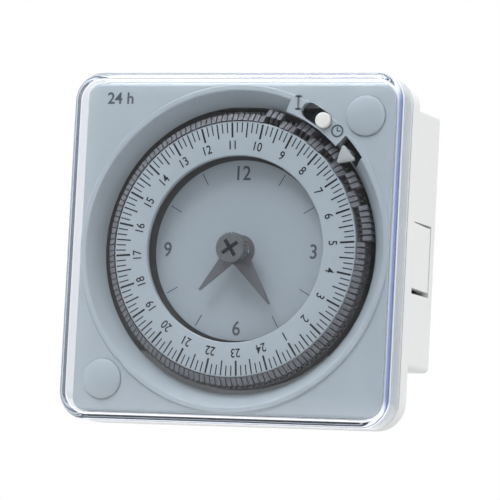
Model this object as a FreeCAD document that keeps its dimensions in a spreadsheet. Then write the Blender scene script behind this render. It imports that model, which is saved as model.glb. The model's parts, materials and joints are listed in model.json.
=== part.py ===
"""Panel-mounting 24-hour programmable timer, 72 x 72 mm front.

Frame: +Z up, +X to the right as a user faces the dial, +Y into the panel.
The origin is the centre of the flange's rear face, which bears on the panel,
so negative Y is in front of the panel and positive Y is behind it.
"""
import FreeCAD, Part
import math
import os
import re

Vector = FreeCAD.Vector
doc = FreeCAD.newDocument("programmable_timer")

# ---------------------------------------------------------------- driving sizes (mm, degrees)
SIZES = {
    # flange and case
    "flange_half": 36.0, "flange_front": -4.0, "flange_corner": 6.0,
    "recess_half": 34.05, "recess_corner": 2.75, "recess_floor": -1.2,
    "tub_half": 33.5, "tub_top": 31.3, "tub_bottom": -22.6, "tub_wall": 1.5,
    "tub_rear": 19.4, "tub_corner": 1.2, "rear_cover_back": 21.0, "rear_lip_depth": 1.0,
    "rear_lip_wall": 1.2, "rear_lip_gap": 0.1,
    # spring latches in the side walls
    "latch_low": -6.1, "latch_high": 7.2, "latch_slit": 0.5, "latch_gap": 1.0,
    "latch_root": 1.1, "latch_end": 17.7, "latch_step": 5.0, "latch_ramp_end": 16.0,
    "latch_proud": 0.8, "latch_root_gap": 0.05,
    # transparent cover
    "cover_front": -11.2, "cover_pane": 1.1, "cover_wall": 1.3, "cover_edge": 1.5,
    # front plate with its well
    "plate_half": 33.9, "plate_front": -8.0, "plate_rear": -1.25, "plate_skin": 1.6,
    "plate_wall": 1.3, "plate_corner": 2.6, "plate_edge": 0.5,
    "bead_outer": 33.8, "bead_height": 0.35, "bead_sunk": 0.2, "bead_round": 0.25,
    "bead_relief": 5.2, "mouth_round": 0.5, "well_mouth": 32.3, "well_throat": 29.6,
    "well_throat_y": -4.35, "well_wall": 1.1,
    # diagonal fixing screws and their plugs
    "screw_place": 27.4, "plug_radius": 4.2, "plug_hole": 4.25, "plug_front": -8.5,
    "plug_seat": -6.9, "plug_edge": 0.5, "screw_head": 2.8, "screw_head_back": -4.6,
    "screw_shank": 1.25, "screw_tip": 6.5, "screw_pocket": 3.1, "boss_radius": 4.4,
    "case_boss": 2.9, "case_boss_end": 8.0,
    # override slide, its shelf and the time pointer
    "shelf_from": 44.9, "shelf_to": 70.0, "shelf_inner": 30.0, "shelf_thick": 1.0,
    "slot_angle": 58.2, "slot_centre": 32.1, "slot_half_travel": 1.95, "slot_half_width": 1.75,
    "knob_offset": 1.85, "button_radius": 1.65, "button_front": -9.3, "slide_front": -6.85,
    "slide_back": -5.9, "slide_half": 3.0, "slide_inner": 30.6, "slide_outer": 33.6,
    "pocket_half": 6.2, "pocket_inner": 30.1, "pocket_outer": 34.0, "peg_radius": 0.8,
    "peg_back": -4.1, "notch_from": 34.7, "notch_outer": 33.0, "notch_floor": -5.0,
    "notch_base": 0.9, "pointer_front": -8.35, "pointer_back": -7.7, "pointer_tip": 28.1,
    "pointer_tail": 31.4, "pointer_half": 2.0, "pointer_peg": 0.7, "pointer_peg_at": 30.9,
    # program dial
    "ring_front": -7.3, "ring_thick": 1.0, "ring_outer": 26.35, "ring_inner": 19.2,
    "skirt_wall": 1.05, "web_front": -2.65, "web_back": -1.65, "carrier_radius": 28.6,
    "carrier_wall": 2.0, "carrier_gap": 0.05, "separator_width": 0.1, "separator_top": -6.0,
    "separator_inner": 26.45, "separator_outer": 27.9, "comb_width": 0.5, "comb_top": -4.9,
    "comb_inner": 27.95,
    "rim_inner": 28.1, "rim_outer": 28.58, "rim_top": -4.3, "rim_from_hour": 10.0,
    "rim_to_hour": 29.0, "hub_radius": 5.5, "hub_back": 0.45,
    # tappets
    "tappets": 144, "head_inner": 26.5, "head_outer": 27.95, "head_front": -7.5,
    "head_outer_front": -6.3, "head_bottom": -5.02, "head_width": 0.92, "foot_inner": 23.4,
    "foot_outer": 27.9, "foot_width": 0.55, "foot_back": -2.7, "tappet_travel": 1.4,
    # clock face, hands and setting knob
    "face_radius": 18.6, "face_front": -3.8, "face_thick": 0.8, "tube_outer": 3.2,
    "tube_inner": 1.98, "clip_radius": 4.6, "clip_thick": 0.25, "dial_clearance": 0.05,
    "minute_length": 13.9, "minute_half": 2.2, "minute_front": -7.1, "hand_thick": 0.4,
    "hour_length": 11.5, "hour_half": 1.9, "hour_front": -6.3, "hand_tip": 0.22,
    "setting_radius": 3.0, "setting_front": -9.8, "setting_back": -7.1, "knurls": 30,
    "knurl_radius": 0.17, "cross_length": 4.1, "cross_width": 0.65, "cross_depth": 0.8,
    "cross_turn": 35.0, "setting_edge": 0.25,
    # going train
    "front_plate_at": 0.6, "rear_plate_at": 6.4, "movement_thick": 1.2,
    "train_module": 0.4, "centre_module": 0.3,
    "cannon_teeth": 10, "minute_wheel_teeth": 30, "minute_pinion_teeth": 8,
    "hour_wheel_teeth": 32, "drive_wheel_teeth": 32, "drive_pinion_teeth": 20,
    "dial_gear_teeth": 40, "centre_wheel_teeth": 60, "motor_pinion_teeth": 10,
    "minute_axis_angle": 200.0, "drive_axis_angle": 300.0, "motor_axis_angle": 100.0,
    "arbor_radius": 0.95, "hour_bore": 1.0, "hour_tube": 1.9, "stud_radius": 0.6,
    "stud_bore": 0.65, "drive_arbor": 0.8, "pivot_play": 0.05, "motor_shaft": 0.8,
    "first_layer": 2.1, "second_layer": 3.4, "third_layer": 4.6, "wheel_thick": 0.9,
    "dial_gear_at": -0.95, "dial_gear_thick": 1.0,
    # motor
    "motor_x": -6.0, "motor_z": 3.0, "motor_radius": 14.0, "motor_back": 17.4,
    "ear_half": 18.0, "ear_height": 3.2, "ear_thick": 1.0,
    # sensing lever and snap switch
    "lever_x": 29.9, "lever_z": 10.9, "lever_boss": 1.4, "lever_arbor": 0.9,
    "finger_front": -3.9, "finger_back": -2.9, "finger_angle": 40.0, "finger_radius": 30.2,
    "finger_half": 0.7, "tail_front": 4.2, "tail_back": 5.4, "tail_length": 7.4,
    "tail_half": 0.8, "switch_left": 21.9, "switch_right": 28.4, "switch_low": -3.0,
    "switch_high": 9.8, "switch_front": 1.9, "switch_back": 7.7, "plunger_radius": 0.6,
    "plunger_gap": 0.05, "plunger_depth": 2.5, "blade_length": 3.4, "blade_half": 1.1,
    "blade_pitch": 4.4,
    # terminals
    "block_half": 24.0, "block_low": -33.4, "block_back": 17.0, "terminal_pitch": 8.6,
    "chamber_half": 2.9, "chamber_low": -31.6, "chamber_high": -24.2, "chamber_front": 5.6,
    "chamber_back": 12.0, "wire_radius": 2.2, "wire_y": 8.4, "driver_radius": 2.3,
    "terminal_screw_z": -28.0, "cage_gap": 0.2, "cage_wall": 1.0, "terminal_shank": 1.5,
    "terminal_head": 2.1, "terminal_head_back": 15.5, "terminal_head_thick": 1.6,
    "tab_half": 1.5, "tab_thick": 0.8, "tab_top": -17.5,
    # time shown
    "hours_shown": 7.4, "pointer_angle": 40.0,
}

sheet = doc.addObject("Spreadsheet::Sheet", "Sizes")
for row, (alias, value) in enumerate(SIZES.items(), start=1):
    sheet.set(f"A{row}", alias)
    sheet.set(f"B{row}", str(value))
    sheet.setAlias(f"B{row}", alias)
doc.recompute()


def size(alias):
    """A driving size as a plain number."""
    return float(sheet.get(alias))


def formula(text):
    """Turn plain alias names in an expression into references to the sheet."""
    return re.sub(r"[a-z][a-z_]+", lambda word: "Sizes." + word.group() if word.group() in SIZES else word.group(),
                  str(text))


def bind(thing, **properties):
    """Bind each property of a document object to an expression of sheet sizes."""
    for name, text in properties.items():
        thing.setExpression(name, formula(text))


# ---------------------------------------------------------------- primitives that lie along Y
TO_Y = FreeCAD.Rotation(Vector(1, 0, 0), -90)
BACKWARDS = Vector(0, 1, 0)


def place(thing, x, y, z):
    for axis, text in zip("xyz", (x, y, z)):
        thing.setExpression(f".Placement.Base.{axis}", formula(text))


def rod(name, radius, front, back, x="0", z="0"):
    """A cylinder along Y from front to back."""
    cylinder = doc.addObject("Part::Cylinder", name)
    cylinder.Placement = FreeCAD.Placement(Vector(), TO_Y)
    bind(cylinder, Radius=radius, Height=f"({back}) - ({front})")
    place(cylinder, x, front, z)
    return cylinder


def cone(name, front_radius, back_radius, front, back):
    """A frustum along Y on the dial's axis."""
    frustum = doc.addObject("Part::Cone", name)
    frustum.Placement = FreeCAD.Placement(Vector(), TO_Y)
    bind(frustum, Radius1=front_radius, Radius2=back_radius, Height=f"({back}) - ({front})")
    place(frustum, "0", front, "0")
    return frustum


def block(name, x0, x1, y0, y1, z0, z1):
    """A box between two corners."""
    box = doc.addObject("Part::Box", name)
    bind(box, Length=f"({x1}) - ({x0})", Width=f"({y1}) - ({y0})", Height=f"({z1}) - ({z0})")
    place(box, x0, y0, z0)
    return box


def turned_block(name, angle, radial, tangential, depth):
    """A box whose own X runs outwards along a radius at the given angle (degrees from +X to +Z)."""
    box = doc.addObject("Part::Box", name)
    inner, outer = radial
    low, high = tangential
    front, back = depth
    bind(box, Length=f"({outer}) - ({inner})", Width=f"({back}) - ({front})", Height=f"({high}) - ({low})")
    box.Placement = FreeCAD.Placement(Vector(), FreeCAD.Rotation(Vector(0, -1, 0), size(angle)))
    place(box, f"({inner}) * cos({angle}) - ({low}) * sin({angle})", front,
          f"({inner}) * sin({angle}) + ({low}) * cos({angle})")
    box.setExpression(".Placement.Rotation.Angle", formula(angle))
    return box


def fuse(name, *shapes):
    joined = doc.addObject("Part::MultiFuse", name)
    joined.Shapes = list(shapes)
    joined.Refine = True
    return joined


def cut(name, base, *tools):
    """Take each tool away from the base."""
    result = base
    for number, tool in enumerate(tools):
        step = doc.addObject("Part::Cut", name if number == len(tools) - 1 else f"{name}_{number}")
        step.Base = result
        step.Tool = tool
        step.Refine = True
        result = step
    return result


def along_y(edge):
    return isinstance(edge.Curve, Part.Line) and abs(abs(edge.Curve.Direction.y) - 1) < 1e-6


def on_plane_y(edge, y):
    return all(abs(vertex.Y - y) < 1e-4 for vertex in edge.Vertexes) and abs(edge.CenterOfMass.y - y) < 1e-4


def round_edges(body, base, name, chosen, radius):
    """A PartDesign fillet on the base feature's edges that the test chooses."""
    doc.recompute()
    fillet = body.newObject("PartDesign::Fillet", name)
    names = [f"Edge{i}" for i, edge in enumerate(base.Shape.Edges, start=1) if chosen(edge)]
    fillet.Base = (base, names)
    bind(fillet, Radius=radius)
    return fillet


def rounded_block(name, x0, x1, y0, y1, z0, z1, corner, front_edge=None, back_edge=None):
    """A PartDesign body: a box with rounded corners about Y and, if asked, softened rims."""
    body = doc.addObject("PartDesign::Body", name)
    box = body.newObject("PartDesign::AdditiveBox", f"{name}_box")
    bind(box, Length=f"({x1}) - ({x0})", Width=f"({y1}) - ({y0})", Height=f"({z1}) - ({z0})")
    place(box, x0, y0, z0)
    last = round_edges(body, box, f"{name}_corners", along_y, corner)
    for suffix, edge_radius in (("front", front_edge), ("back", back_edge)):
        if edge_radius is None:
            continue
        doc.recompute()
        bounds = last.Shape.BoundBox
        level = bounds.YMin if suffix == "front" else bounds.YMax
        last = round_edges(body, last, f"{name}_{suffix}_rim", lambda edge: on_plane_y(edge, level), edge_radius)
    body.Tip = last
    return body


def padded_outline(name, points, front, back):
    """A PartDesign body: an outline of (X, Z) points, padded from back to front."""
    body = doc.addObject("PartDesign::Body", name)
    sketch = body.newObject("Sketcher::SketchObject", f"{name}_outline")
    plane = next(item for item in body.Origin.OriginFeatures if item.Role == "XZ_Plane")
    sketch.AttachmentSupport = [(plane, "")]
    sketch.MapMode = "FlatFace"
    sketch.setExpression(".AttachmentOffset.Base.z", formula(f"-({back})"))
    ends = points[1:] + points[:1]
    for (x0, z0), (x1, z1) in zip(points, ends):
        sketch.addGeometry(Part.LineSegment(Vector(x0, z0, 0), Vector(x1, z1, 0)), False)
    pad = body.newObject("PartDesign::Pad", f"{name}_pad")
    pad.Profile = sketch
    bind(pad, Length=f"({back}) - ({front})")
    body.Tip = pad
    return body


NODES = {}


def sub_part(label, thing):
    """Register a finished object as a separate piece of the timer."""
    thing.Label = label
    NODES[label] = thing
    return thing


def free_shape(label, shape):
    """A piece whose outline comes from a formula, such as a toothed wheel."""
    feature = doc.addObject("Part::Feature", label)
    feature.Shape = shape
    return sub_part(label, feature)


# ---------------------------------------------------------------- case, latches and rear cover
def make_case():
    flange = rounded_block("flange", "-flange_half", "flange_half", "flange_front", "0",
                           "-flange_half", "flange_half", "flange_corner", front_edge="plate_edge")
    tub = rounded_block("tub", "-tub_half", "tub_half", "recess_floor", "tub_rear",
                        "tub_bottom", "tub_top", "tub_corner")
    recess = rounded_block("recess", "-recess_half", "recess_half", "flange_front - 1", "recess_floor",
                           "-recess_half", "recess_half", "recess_corner")
    hollow = block("hollow", "-tub_half + tub_wall", "tub_half - tub_wall", "recess_floor - 1", "tub_rear + 1",
                   "tub_bottom + tub_wall", "tub_top - tub_wall")
    low_boss = rod("low_boss", "case_boss", "recess_floor", "case_boss_end", "-screw_place", "-screw_place")
    shell = cut("shell", fuse("flange_and_tub", flange, tub, low_boss), recess, hollow)
    high_boss = rod("high_boss", "case_boss", "recess_floor", "case_boss_end", "screw_place", "screw_place")
    posts = [block(f"movement_post_{i}", x0, x1, "front_plate_at + movement_thick", "case_boss_end", z0, z1)
             for i, (x0, x1, z0, z1) in enumerate((
                 ("tub_half - tub_wall - 6", "tub_half - tub_wall", "tub_bottom + tub_wall", "tub_bottom + tub_wall + 6"),
                 ("-tub_half + tub_wall", "-tub_half + tub_wall + 6", "tub_bottom + tub_wall", "tub_bottom + tub_wall + 6"),
                 ("-tub_half + tub_wall", "-tub_half + tub_wall + 6", "tub_top - tub_wall - 6", "tub_top - tub_wall")))]
    filled = fuse("shell_with_bosses", shell, high_boss, *posts)
    screw_holes = [rod(f"screw_hole_{i}", "screw_shank", "recess_floor - 1", "screw_tip + 0.5", place_x, place_x)
                   for i, place_x in enumerate(("screw_place", "-screw_place"))]
    movement_holes = [rod(f"movement_hole_{i}", "screw_shank - 0.25", "front_plate_at", "case_boss_end - 1", x, z)
                      for i, (x, z) in enumerate(MOVEMENT_SCREWS)]
    windows = [block(f"latch_window_{side}", x0, x1, "latch_root - tub_wall / 2 - latch_root_gap", "latch_end + latch_slit",
                     "latch_low - latch_gap", "latch_high + latch_slit")
               for side, x0, x1 in (("right", "tub_half - 2", "tub_half + 0.2"), ("left", "-tub_half - 0.2", "-tub_half + 2"))]
    tab_slots = [block(f"case_tab_slot_{i}", f"{x} - tab_half - 0.2", f"{x} + tab_half + 0.2", "wire_y - 0.2",
                       "wire_y + tab_thick + 0.2", "tub_bottom - 1", "tub_bottom + tub_wall + 1")
                 for i, x in enumerate(TERMINALS)]
    tools = screw_holes + movement_holes + windows + tab_slots
    return sub_part("case", cut("case_body", filled, fuse("case_openings", *tools)))


def make_latch(label, side):
    """A sprung tongue in a side wall, with a ramp that ends in a sheer step for the panel."""
    inner = f"{side} * (tub_half - tub_wall)" if side > 0 else "-tub_half"
    outer = "tub_half" if side > 0 else "-(tub_half - tub_wall)"
    tongue = block(f"{label}_tongue", inner, outer, "latch_root", "latch_end", "latch_low", "latch_high")
    root = doc.addObject("Part::Cylinder", f"{label}_root")
    bind(root, Radius="tub_wall / 2", Height="latch_high - latch_low")
    place(root, f"{side} * (tub_half - tub_wall / 2)", "latch_root", "latch_low")
    ramp = doc.addObject("Part::Wedge", f"{label}_ramp")
    # the wedge's own Y is the ramp's height: full at the step, nothing at the ramp's end
    bind(ramp, Xmin="0", X2min="0", Xmax="latch_high - latch_low", X2max="latch_high - latch_low",
         Ymin="0", Ymax="latch_ramp_end - latch_step", Zmin="0", Zmax="latch_proud", Z2min="0", Z2max="0.01")
    turn = FreeCAD.Matrix(0, 0, 1, 0, 0, 1, 0, 0, -1, 0, 0, 0, 0, 0, 0, 1)
    if side < 0:
        turn = FreeCAD.Matrix(0, 0, -1, 0, 0, 1, 0, 0, 1, 0, 0, 0, 0, 0, 0, 1)
    ramp.Placement = FreeCAD.Placement(turn)
    place(ramp, f"{side} * tub_half", "latch_step", "latch_high" if side > 0 else "latch_low")
    return sub_part(label, fuse(f"{label}_body", tongue, root, ramp))


def make_rear_cover():
    lid = rounded_block("lid", "-tub_half", "tub_half", "tub_rear", "rear_cover_back",
                        "tub_bottom", "tub_top", "tub_corner", back_edge="plate_edge")
    inset = "tub_wall + rear_lip_gap"
    lip = block("lip", f"-tub_half + {inset}", f"tub_half - ({inset})", "tub_rear - rear_lip_depth", "tub_rear",
                f"tub_bottom + {inset}", f"tub_top - ({inset})")
    inset = "tub_wall + rear_lip_gap + rear_lip_wall"
    lip_hollow = block("lip_hollow", f"-tub_half + {inset}", f"tub_half - ({inset})", "tub_rear - rear_lip_depth - 1",
                       "tub_rear", f"tub_bottom + {inset}", f"tub_top - ({inset})")
    return sub_part("rear_cover", fuse("rear_cover_body", lid, cut("lip_ring", lip, lip_hollow)))


# ---------------------------------------------------------------- transparent cover
def make_cover():
    outside = rounded_block("cover_outside", "-flange_half", "flange_half", "cover_front", "flange_front",
                            "-flange_half", "flange_half", "flange_corner", front_edge="cover_edge")
    inside = rounded_block("cover_inside", "-flange_half + cover_wall", "flange_half - cover_wall",
                           "cover_front + cover_pane", "flange_front + 1", "-flange_half + cover_wall",
                           "flange_half - cover_wall", "flange_corner - cover_wall", front_edge="cover_edge / 2")
    return sub_part("cover", cut("cover_body", outside, inside))


# ---------------------------------------------------------------- front plate
def sector(name, inner, outer, front, back, start, end):
    """Part of a ring between two angles, for shelves and notches around the well."""
    def corner(radius, angle):
        turn = math.radians(size(angle))
        return Vector(radius * math.cos(turn), size_of(front), radius * math.sin(turn))

    def arc(radius, first, last):
        middle = math.radians((size(first) + size(last)) / 2)
        via = Vector(radius * math.cos(middle), size_of(front), radius * math.sin(middle))
        return Part.Arc(corner(radius, first), via, corner(radius, last)).toShape()

    wire = Part.Wire([arc(inner, start, end), Part.LineSegment(corner(inner, end), corner(outer, end)).toShape(),
                      arc(outer, end, start), Part.LineSegment(corner(outer, start), corner(inner, start)).toShape()])
    feature = doc.addObject("Part::Feature", name)
    feature.Shape = Part.Face(wire).extrude(BACKWARDS * (size_of(back) - size_of(front)))
    return feature


def size_of(text):
    """A number worked out from a formula of sheet sizes."""
    words = re.sub(r"[a-z][a-z_]+", lambda word: str(size(word.group())), str(text))
    total = 0.0
    for sign, number in re.findall(r"([+-]?)\s*(-?\d+\.?\d*)", words):
        total += -float(number) if sign == "-" else float(number)
    return total


def make_bead():
    """The raised rim round the well: a disc with a softened edge, relieved where the plugs stand."""
    front, back = size("plate_front") - size("bead_height"), size("plate_front") + size("bead_sunk")
    disc = Part.makeCylinder(size("bead_outer"), back - front, Vector(0, front, 0), BACKWARDS)
    for x in (size("screw_place"), -size("screw_place")):
        disc = disc.cut(Part.makeCylinder(size("bead_relief"), back - front, Vector(x, front, x), BACKWARDS))
    rim = [edge for edge in disc.Edges if on_plane_y(edge, front)]
    feature = doc.addObject("Part::Feature", "bead")
    feature.Shape = disc.makeChamfer(size("bead_round"), rim)
    return feature


def make_well():
    """The tool that opens the well: a cone that flares into the bead's top through a quarter round."""
    top = size("plate_front") - size("bead_height")
    throat, throat_y = size("well_throat"), size("well_throat_y")
    lean = (size("well_mouth") - throat) / (throat_y - size("plate_front"))
    edge = size("well_mouth") + lean * size("bead_height")
    turn = math.atan2(1, lean)
    reach = size("mouth_round") * math.tan(turn / 2)
    centre = Vector(edge + reach, top + size("mouth_round"), 0)
    on_cone = Vector(edge - reach * math.cos(turn), top + reach * math.sin(turn), 0)
    half_way = centre - Vector(math.sin(turn / 2), math.cos(turn / 2), 0) * size("mouth_round")
    on_top = Vector(edge + reach, top, 0)
    above, below = Vector(edge + reach, top - 1, 0), Vector(throat - lean * 0.5, throat_y + 0.5, 0)
    axis_front, axis_back = Vector(0, top - 1, 0), Vector(0, throat_y + 0.5, 0)
    corners = [on_cone, below, axis_back, axis_front, above, on_top]
    sides = [Part.LineSegment(a, b).toShape() for a, b in zip(corners, corners[1:])]
    wire = Part.Wire([Part.Arc(on_top, half_way, on_cone).toShape()] + sides)
    feature = doc.addObject("Part::Feature", "well")
    feature.Shape = Part.Face(wire).revolve(Vector(), BACKWARDS, 360)
    return feature


def make_front_plate():
    skin = rounded_block("plate_skin_body", "-plate_half", "plate_half", "plate_front", "plate_rear",
                         "-plate_half", "plate_half", "plate_corner", front_edge="plate_edge")
    hollow = block("plate_hollow", "-plate_half + plate_wall", "plate_half - plate_wall", "plate_front + plate_skin",
                   "plate_rear + 1", "-plate_half + plate_wall", "plate_half - plate_wall")
    box = cut("plate_box", skin, hollow)
    bead = make_bead()
    funnel = cone("funnel", "well_mouth + well_wall", "well_throat + well_wall", "plate_front", "well_throat_y")
    bosses = [rod(f"plug_boss_{i}", "boss_radius", "plate_front", "screw_head_back + 1.4", x, x)
              for i, x in enumerate(("screw_place - 0.2", "-screw_place + 0.2"))]
    solid = fuse("plate_solid", box, bead, funnel, *bosses)
    open_plate = cut("plate_with_well", solid, make_well())
    shelf = sector("shelf_body", size("shelf_inner"), 33.0, "plate_front - bead_height",
                   "plate_front - bead_height + shelf_thick", "shelf_from", "shelf_to")
    shelved = fuse("plate_with_shelf", open_plate, shelf, sector(
        "notch_floor_body", size("shelf_inner"), 33.6, "notch_floor", "notch_floor + notch_base", "notch_from", "shelf_from"))
    pocket = turned_block("slide_pocket", "slot_angle", ("pocket_inner", "pocket_outer"),
                          ("-pocket_half", "pocket_half"), ("slide_front - 0.1", "well_throat_y + 1"))
    slot_middle = turned_block("slot_middle", "slot_angle",
                               ("slot_centre - slot_half_width", "slot_centre + slot_half_width"),
                               ("-slot_half_travel", "slot_half_travel"), ("plate_front - 1", "slide_front"))
    slot_ends = [rod(f"slot_end_{i}", "slot_half_width", "plate_front - 1", "slide_front",
                     f"slot_centre * cos(slot_angle) - ({offset}) * sin(slot_angle)",
                     f"slot_centre * sin(slot_angle) + ({offset}) * cos(slot_angle)")
                 for i, offset in enumerate(("-slot_half_travel", "slot_half_travel"))]
    notch = sector("notch", 29.0, size("notch_outer"), "plate_front - bead_height - 1", "notch_floor",
                   "notch_from", "shelf_from")
    plug_holes = [rod(f"plug_hole_{i}", "plug_hole", "plate_front - 1", "plug_seat", x, x)
                  for i, x in enumerate(("screw_place", "-screw_place"))]
    head_holes = [rod(f"head_hole_{i}", "screw_pocket", "plug_seat - 1", "screw_head_back", x, x)
                  for i, x in enumerate(("screw_place", "-screw_place"))]
    shank_holes = [rod(f"shank_hole_{i}", "screw_shank + 0.2", "screw_head_back - 1", "plate_rear + 1", x, x)
                   for i, x in enumerate(("screw_place", "-screw_place"))]
    peg_hole = rod("pointer_peg_hole", "pointer_peg", "notch_floor - 1", "notch_floor + notch_base + 1",
                   "pointer_peg_at * cos(pointer_angle)", "pointer_peg_at * sin(pointer_angle)")
    tools = fuse("plate_openings", pocket, slot_middle, *slot_ends, notch, *plug_holes, *head_holes, *shank_holes, peg_hole)
    return sub_part("front_plate", cut("front_plate_body", shelved, tools))


def make_plugs_and_screws():
    plugs = []
    for i, x in enumerate(("screw_place", "-screw_place")):
        body = doc.addObject("PartDesign::Body", f"plug_{i}")
        disc = body.newObject("PartDesign::AdditiveCylinder", f"plug_disc_{i}")
        disc.Placement = FreeCAD.Placement(Vector(), TO_Y)
        bind(disc, Radius="plug_radius", Height="plug_seat - plug_front")
        place(disc, x, "plug_front", x)
        doc.recompute()
        round_edges(body, disc, f"plug_rim_{i}", lambda edge: on_plane_y(edge, size("plug_front")), "plug_edge")
        plugs.append(body)
    sub_part("screw_plugs", compound("plug_pair", plugs))
    screws = []
    for i, x in enumerate(("screw_place", "-screw_place")):
        head = rod(f"fixing_head_{i}", "screw_head", "screw_head_back - 1.6", "screw_head_back", x, x)
        shank = rod(f"fixing_shank_{i}", "screw_shank", "screw_head_back", "screw_tip", x, x)
        drive = block(f"fixing_slot_{i}", f"{x} - screw_head", f"{x} + screw_head", "screw_head_back - 2",
                      "screw_head_back - 0.9", f"{x} - 0.35", f"{x} + 0.35")
        screws.append(cut(f"fixing_screw_{i}", fuse(f"fixing_solid_{i}", head, shank), drive))
    sub_part("fixing_screws", compound("fixing_screw_pair", screws))


def compound(name, items):
    """Several alike pieces kept as separate solids of one sub-part."""
    group = doc.addObject("Part::Compound", name)
    group.Links = items
    return group


def make_override_slide():
    base = turned_block("slide_base", "slot_angle", ("slide_inner", "slide_outer"),
                        ("-knob_offset - slide_half", "-knob_offset + slide_half"), ("slide_front", "slide_back"))
    x = "slot_centre * cos(slot_angle) + knob_offset * sin(slot_angle)"
    z = "slot_centre * sin(slot_angle) - knob_offset * cos(slot_angle)"
    button = rod("slide_button", "button_radius", "button_front", "slide_front", x, z)
    peg = rod("slide_peg", "peg_radius", "slide_back", "peg_back", x, z)
    return sub_part("override_slide", fuse("override_body", base, button, peg))


def make_pointer():
    angle = math.radians(size("pointer_angle"))

    def at(radius, offset):
        return (radius * math.cos(angle) - offset * math.sin(angle), radius * math.sin(angle) + offset * math.cos(angle))

    half = size("pointer_half")
    arrow = padded_outline("arrow", [at(size("pointer_tip"), 0), at(size("pointer_tail"), -half),
                                     at(size("pointer_tail"), half)], "pointer_front", "pointer_back")
    peg = rod("pointer_peg_body", "pointer_peg", "pointer_back", "notch_floor + notch_base",
              "pointer_peg_at * cos(pointer_angle)", "pointer_peg_at * sin(pointer_angle)")
    return sub_part("time_pointer", fuse("pointer_body", arrow, peg))


# ---------------------------------------------------------------- program dial and tappets
def dial_angle(hour):
    """Angle from +X towards +Z of an hour mark, with the time shown at the pointer."""
    return size("pointer_angle") + 15.0 * (hour - size("hours_shown"))


def ring_of_bars(count, inner, outer, width, front, back, shift):
    """Radial bars, evenly spaced between the tappets."""
    bars = []
    for number in range(count):
        bar = Part.makeBox(outer - inner, back - front, width, Vector(inner, front, -width / 2))
        bar.rotate(Vector(), Vector(0, -1, 0), dial_angle((number + shift) * 24.0 / count))
        bars.append(bar)
    return bars


def make_program_ring():
    rim = rod("ring_rim", "ring_outer", "ring_front", "ring_front + ring_thick")
    skirt = rod("ring_skirt", "ring_inner + skirt_wall", "ring_front", "web_front - carrier_gap")
    bore = rod("ring_bore", "ring_inner", "ring_front - 1", "web_front + 1")
    return sub_part("program_ring", cut("program_ring_body", fuse("ring_solid", rim, skirt), bore))


def make_dial_carrier():
    web = Part.makeCylinder(size("carrier_radius"), size("web_back") - size("web_front"),
                            Vector(0, size("web_front"), 0), BACKWARDS)
    inner_wall = size("ring_inner") + size("skirt_wall") + size("carrier_gap")
    wall_front = size("ring_front") + size("ring_thick")
    height = size("web_front") - wall_front
    wall = Part.makeCylinder(inner_wall + size("carrier_wall"), height, Vector(0, wall_front, 0), BACKWARDS)
    wall = wall.cut(Part.makeCylinder(inner_wall, height, Vector(0, wall_front, 0), BACKWARDS))
    hub = Part.makeCylinder(size("hub_radius"), size("hub_back") - size("web_back"), Vector(0, size("web_back"), 0), BACKWARDS)
    count = int(size("tappets"))
    bars = ring_of_bars(count, size("separator_inner"), size("separator_outer"), size("separator_width"),
                        size("separator_top"), size("web_front"), 0)
    bars += ring_of_bars(count, size("comb_inner"), size("carrier_radius") - 0.05, size("comb_width"),
                         size("comb_top"), size("web_front"), 0)
    rim_angle = (size("rim_to_hour") - size("rim_from_hour")) * 15.0
    section = Part.Face(Part.makePolygon([Vector(radius, y, 0) for radius, y in (
        (size("rim_inner"), size("rim_top")), (size("rim_outer"), size("rim_top")),
        (size("rim_outer"), size("web_front") + 0.2), (size("rim_inner"), size("web_front") + 0.2),
        (size("rim_inner"), size("rim_top")))]))
    rim = section.revolve(Vector(), Vector(0, -1, 0), rim_angle)
    rim.rotate(Vector(), Vector(0, -1, 0), dial_angle(size("rim_from_hour")))
    bore = Part.makeCylinder(size("tube_outer") + size("dial_clearance"), size("hub_back") - size("web_front") + 2,
                             Vector(0, size("web_front") - 1, 0), BACKWARDS)
    carrier = web.multiFuse([wall, hub, rim] + bars).removeSplitter().cut(bore)
    return free_shape("dial_carrier", carrier)


def tappet(number, shift):
    """One tappet: a narrow foot that slides between the carrier's bars and a wedge-shaped head."""
    head = [(size("head_inner"), size("head_front")), (size("head_outer"), size("head_outer_front")),
            (size("head_outer"), size("head_bottom")), (size("head_inner"), size("head_bottom"))]
    foot = [(size("foot_inner"), size("head_bottom")), (size("foot_outer"), size("head_bottom")),
            (size("foot_outer"), size("foot_back")), (size("foot_inner"), size("foot_back"))]
    solids = []
    for outline, width in ((head, size("head_width")), (foot, size("foot_width"))):
        points = [Vector(radius + shift, y, -width / 2) for radius, y in outline]
        face = Part.Face(Part.makePolygon(points + points[:1]))
        solids.append(face.extrude(Vector(0, 0, width)))
    piece = solids[0].fuse(solids[1]).removeSplitter()
    piece.rotate(Vector(), Vector(0, -1, 0), dial_angle((number + 0.5) * 24.0 / size("tappets")))
    return piece


def clock_label(number):
    """Name for the tappet group that starts at a ten-minute step, such as 0630."""
    return f"{number // 6 % 24:02d}{number % 6 * 10:02d}"


def make_tappets():
    """Half-hour groups in the programmed morning, which slide, and the rest of the day pushed in."""
    for first in range(30, 60, 3):
        out = first in OUT_GROUPS
        pieces = [tappet(number, size("tappet_travel") if out else 0) for number in range(first, first + 3)]
        free_shape(f"tappets_{clock_label(first)}", Part.makeCompound(pieces))
    for first, last in ((60, 96), (96, 132), (132, 174)):
        pieces = [tappet(number, 0) for number in range(first, last)]
        free_shape(f"tappets_{clock_label(first)}_to_{clock_label(last)}", Part.makeCompound(pieces))


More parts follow.
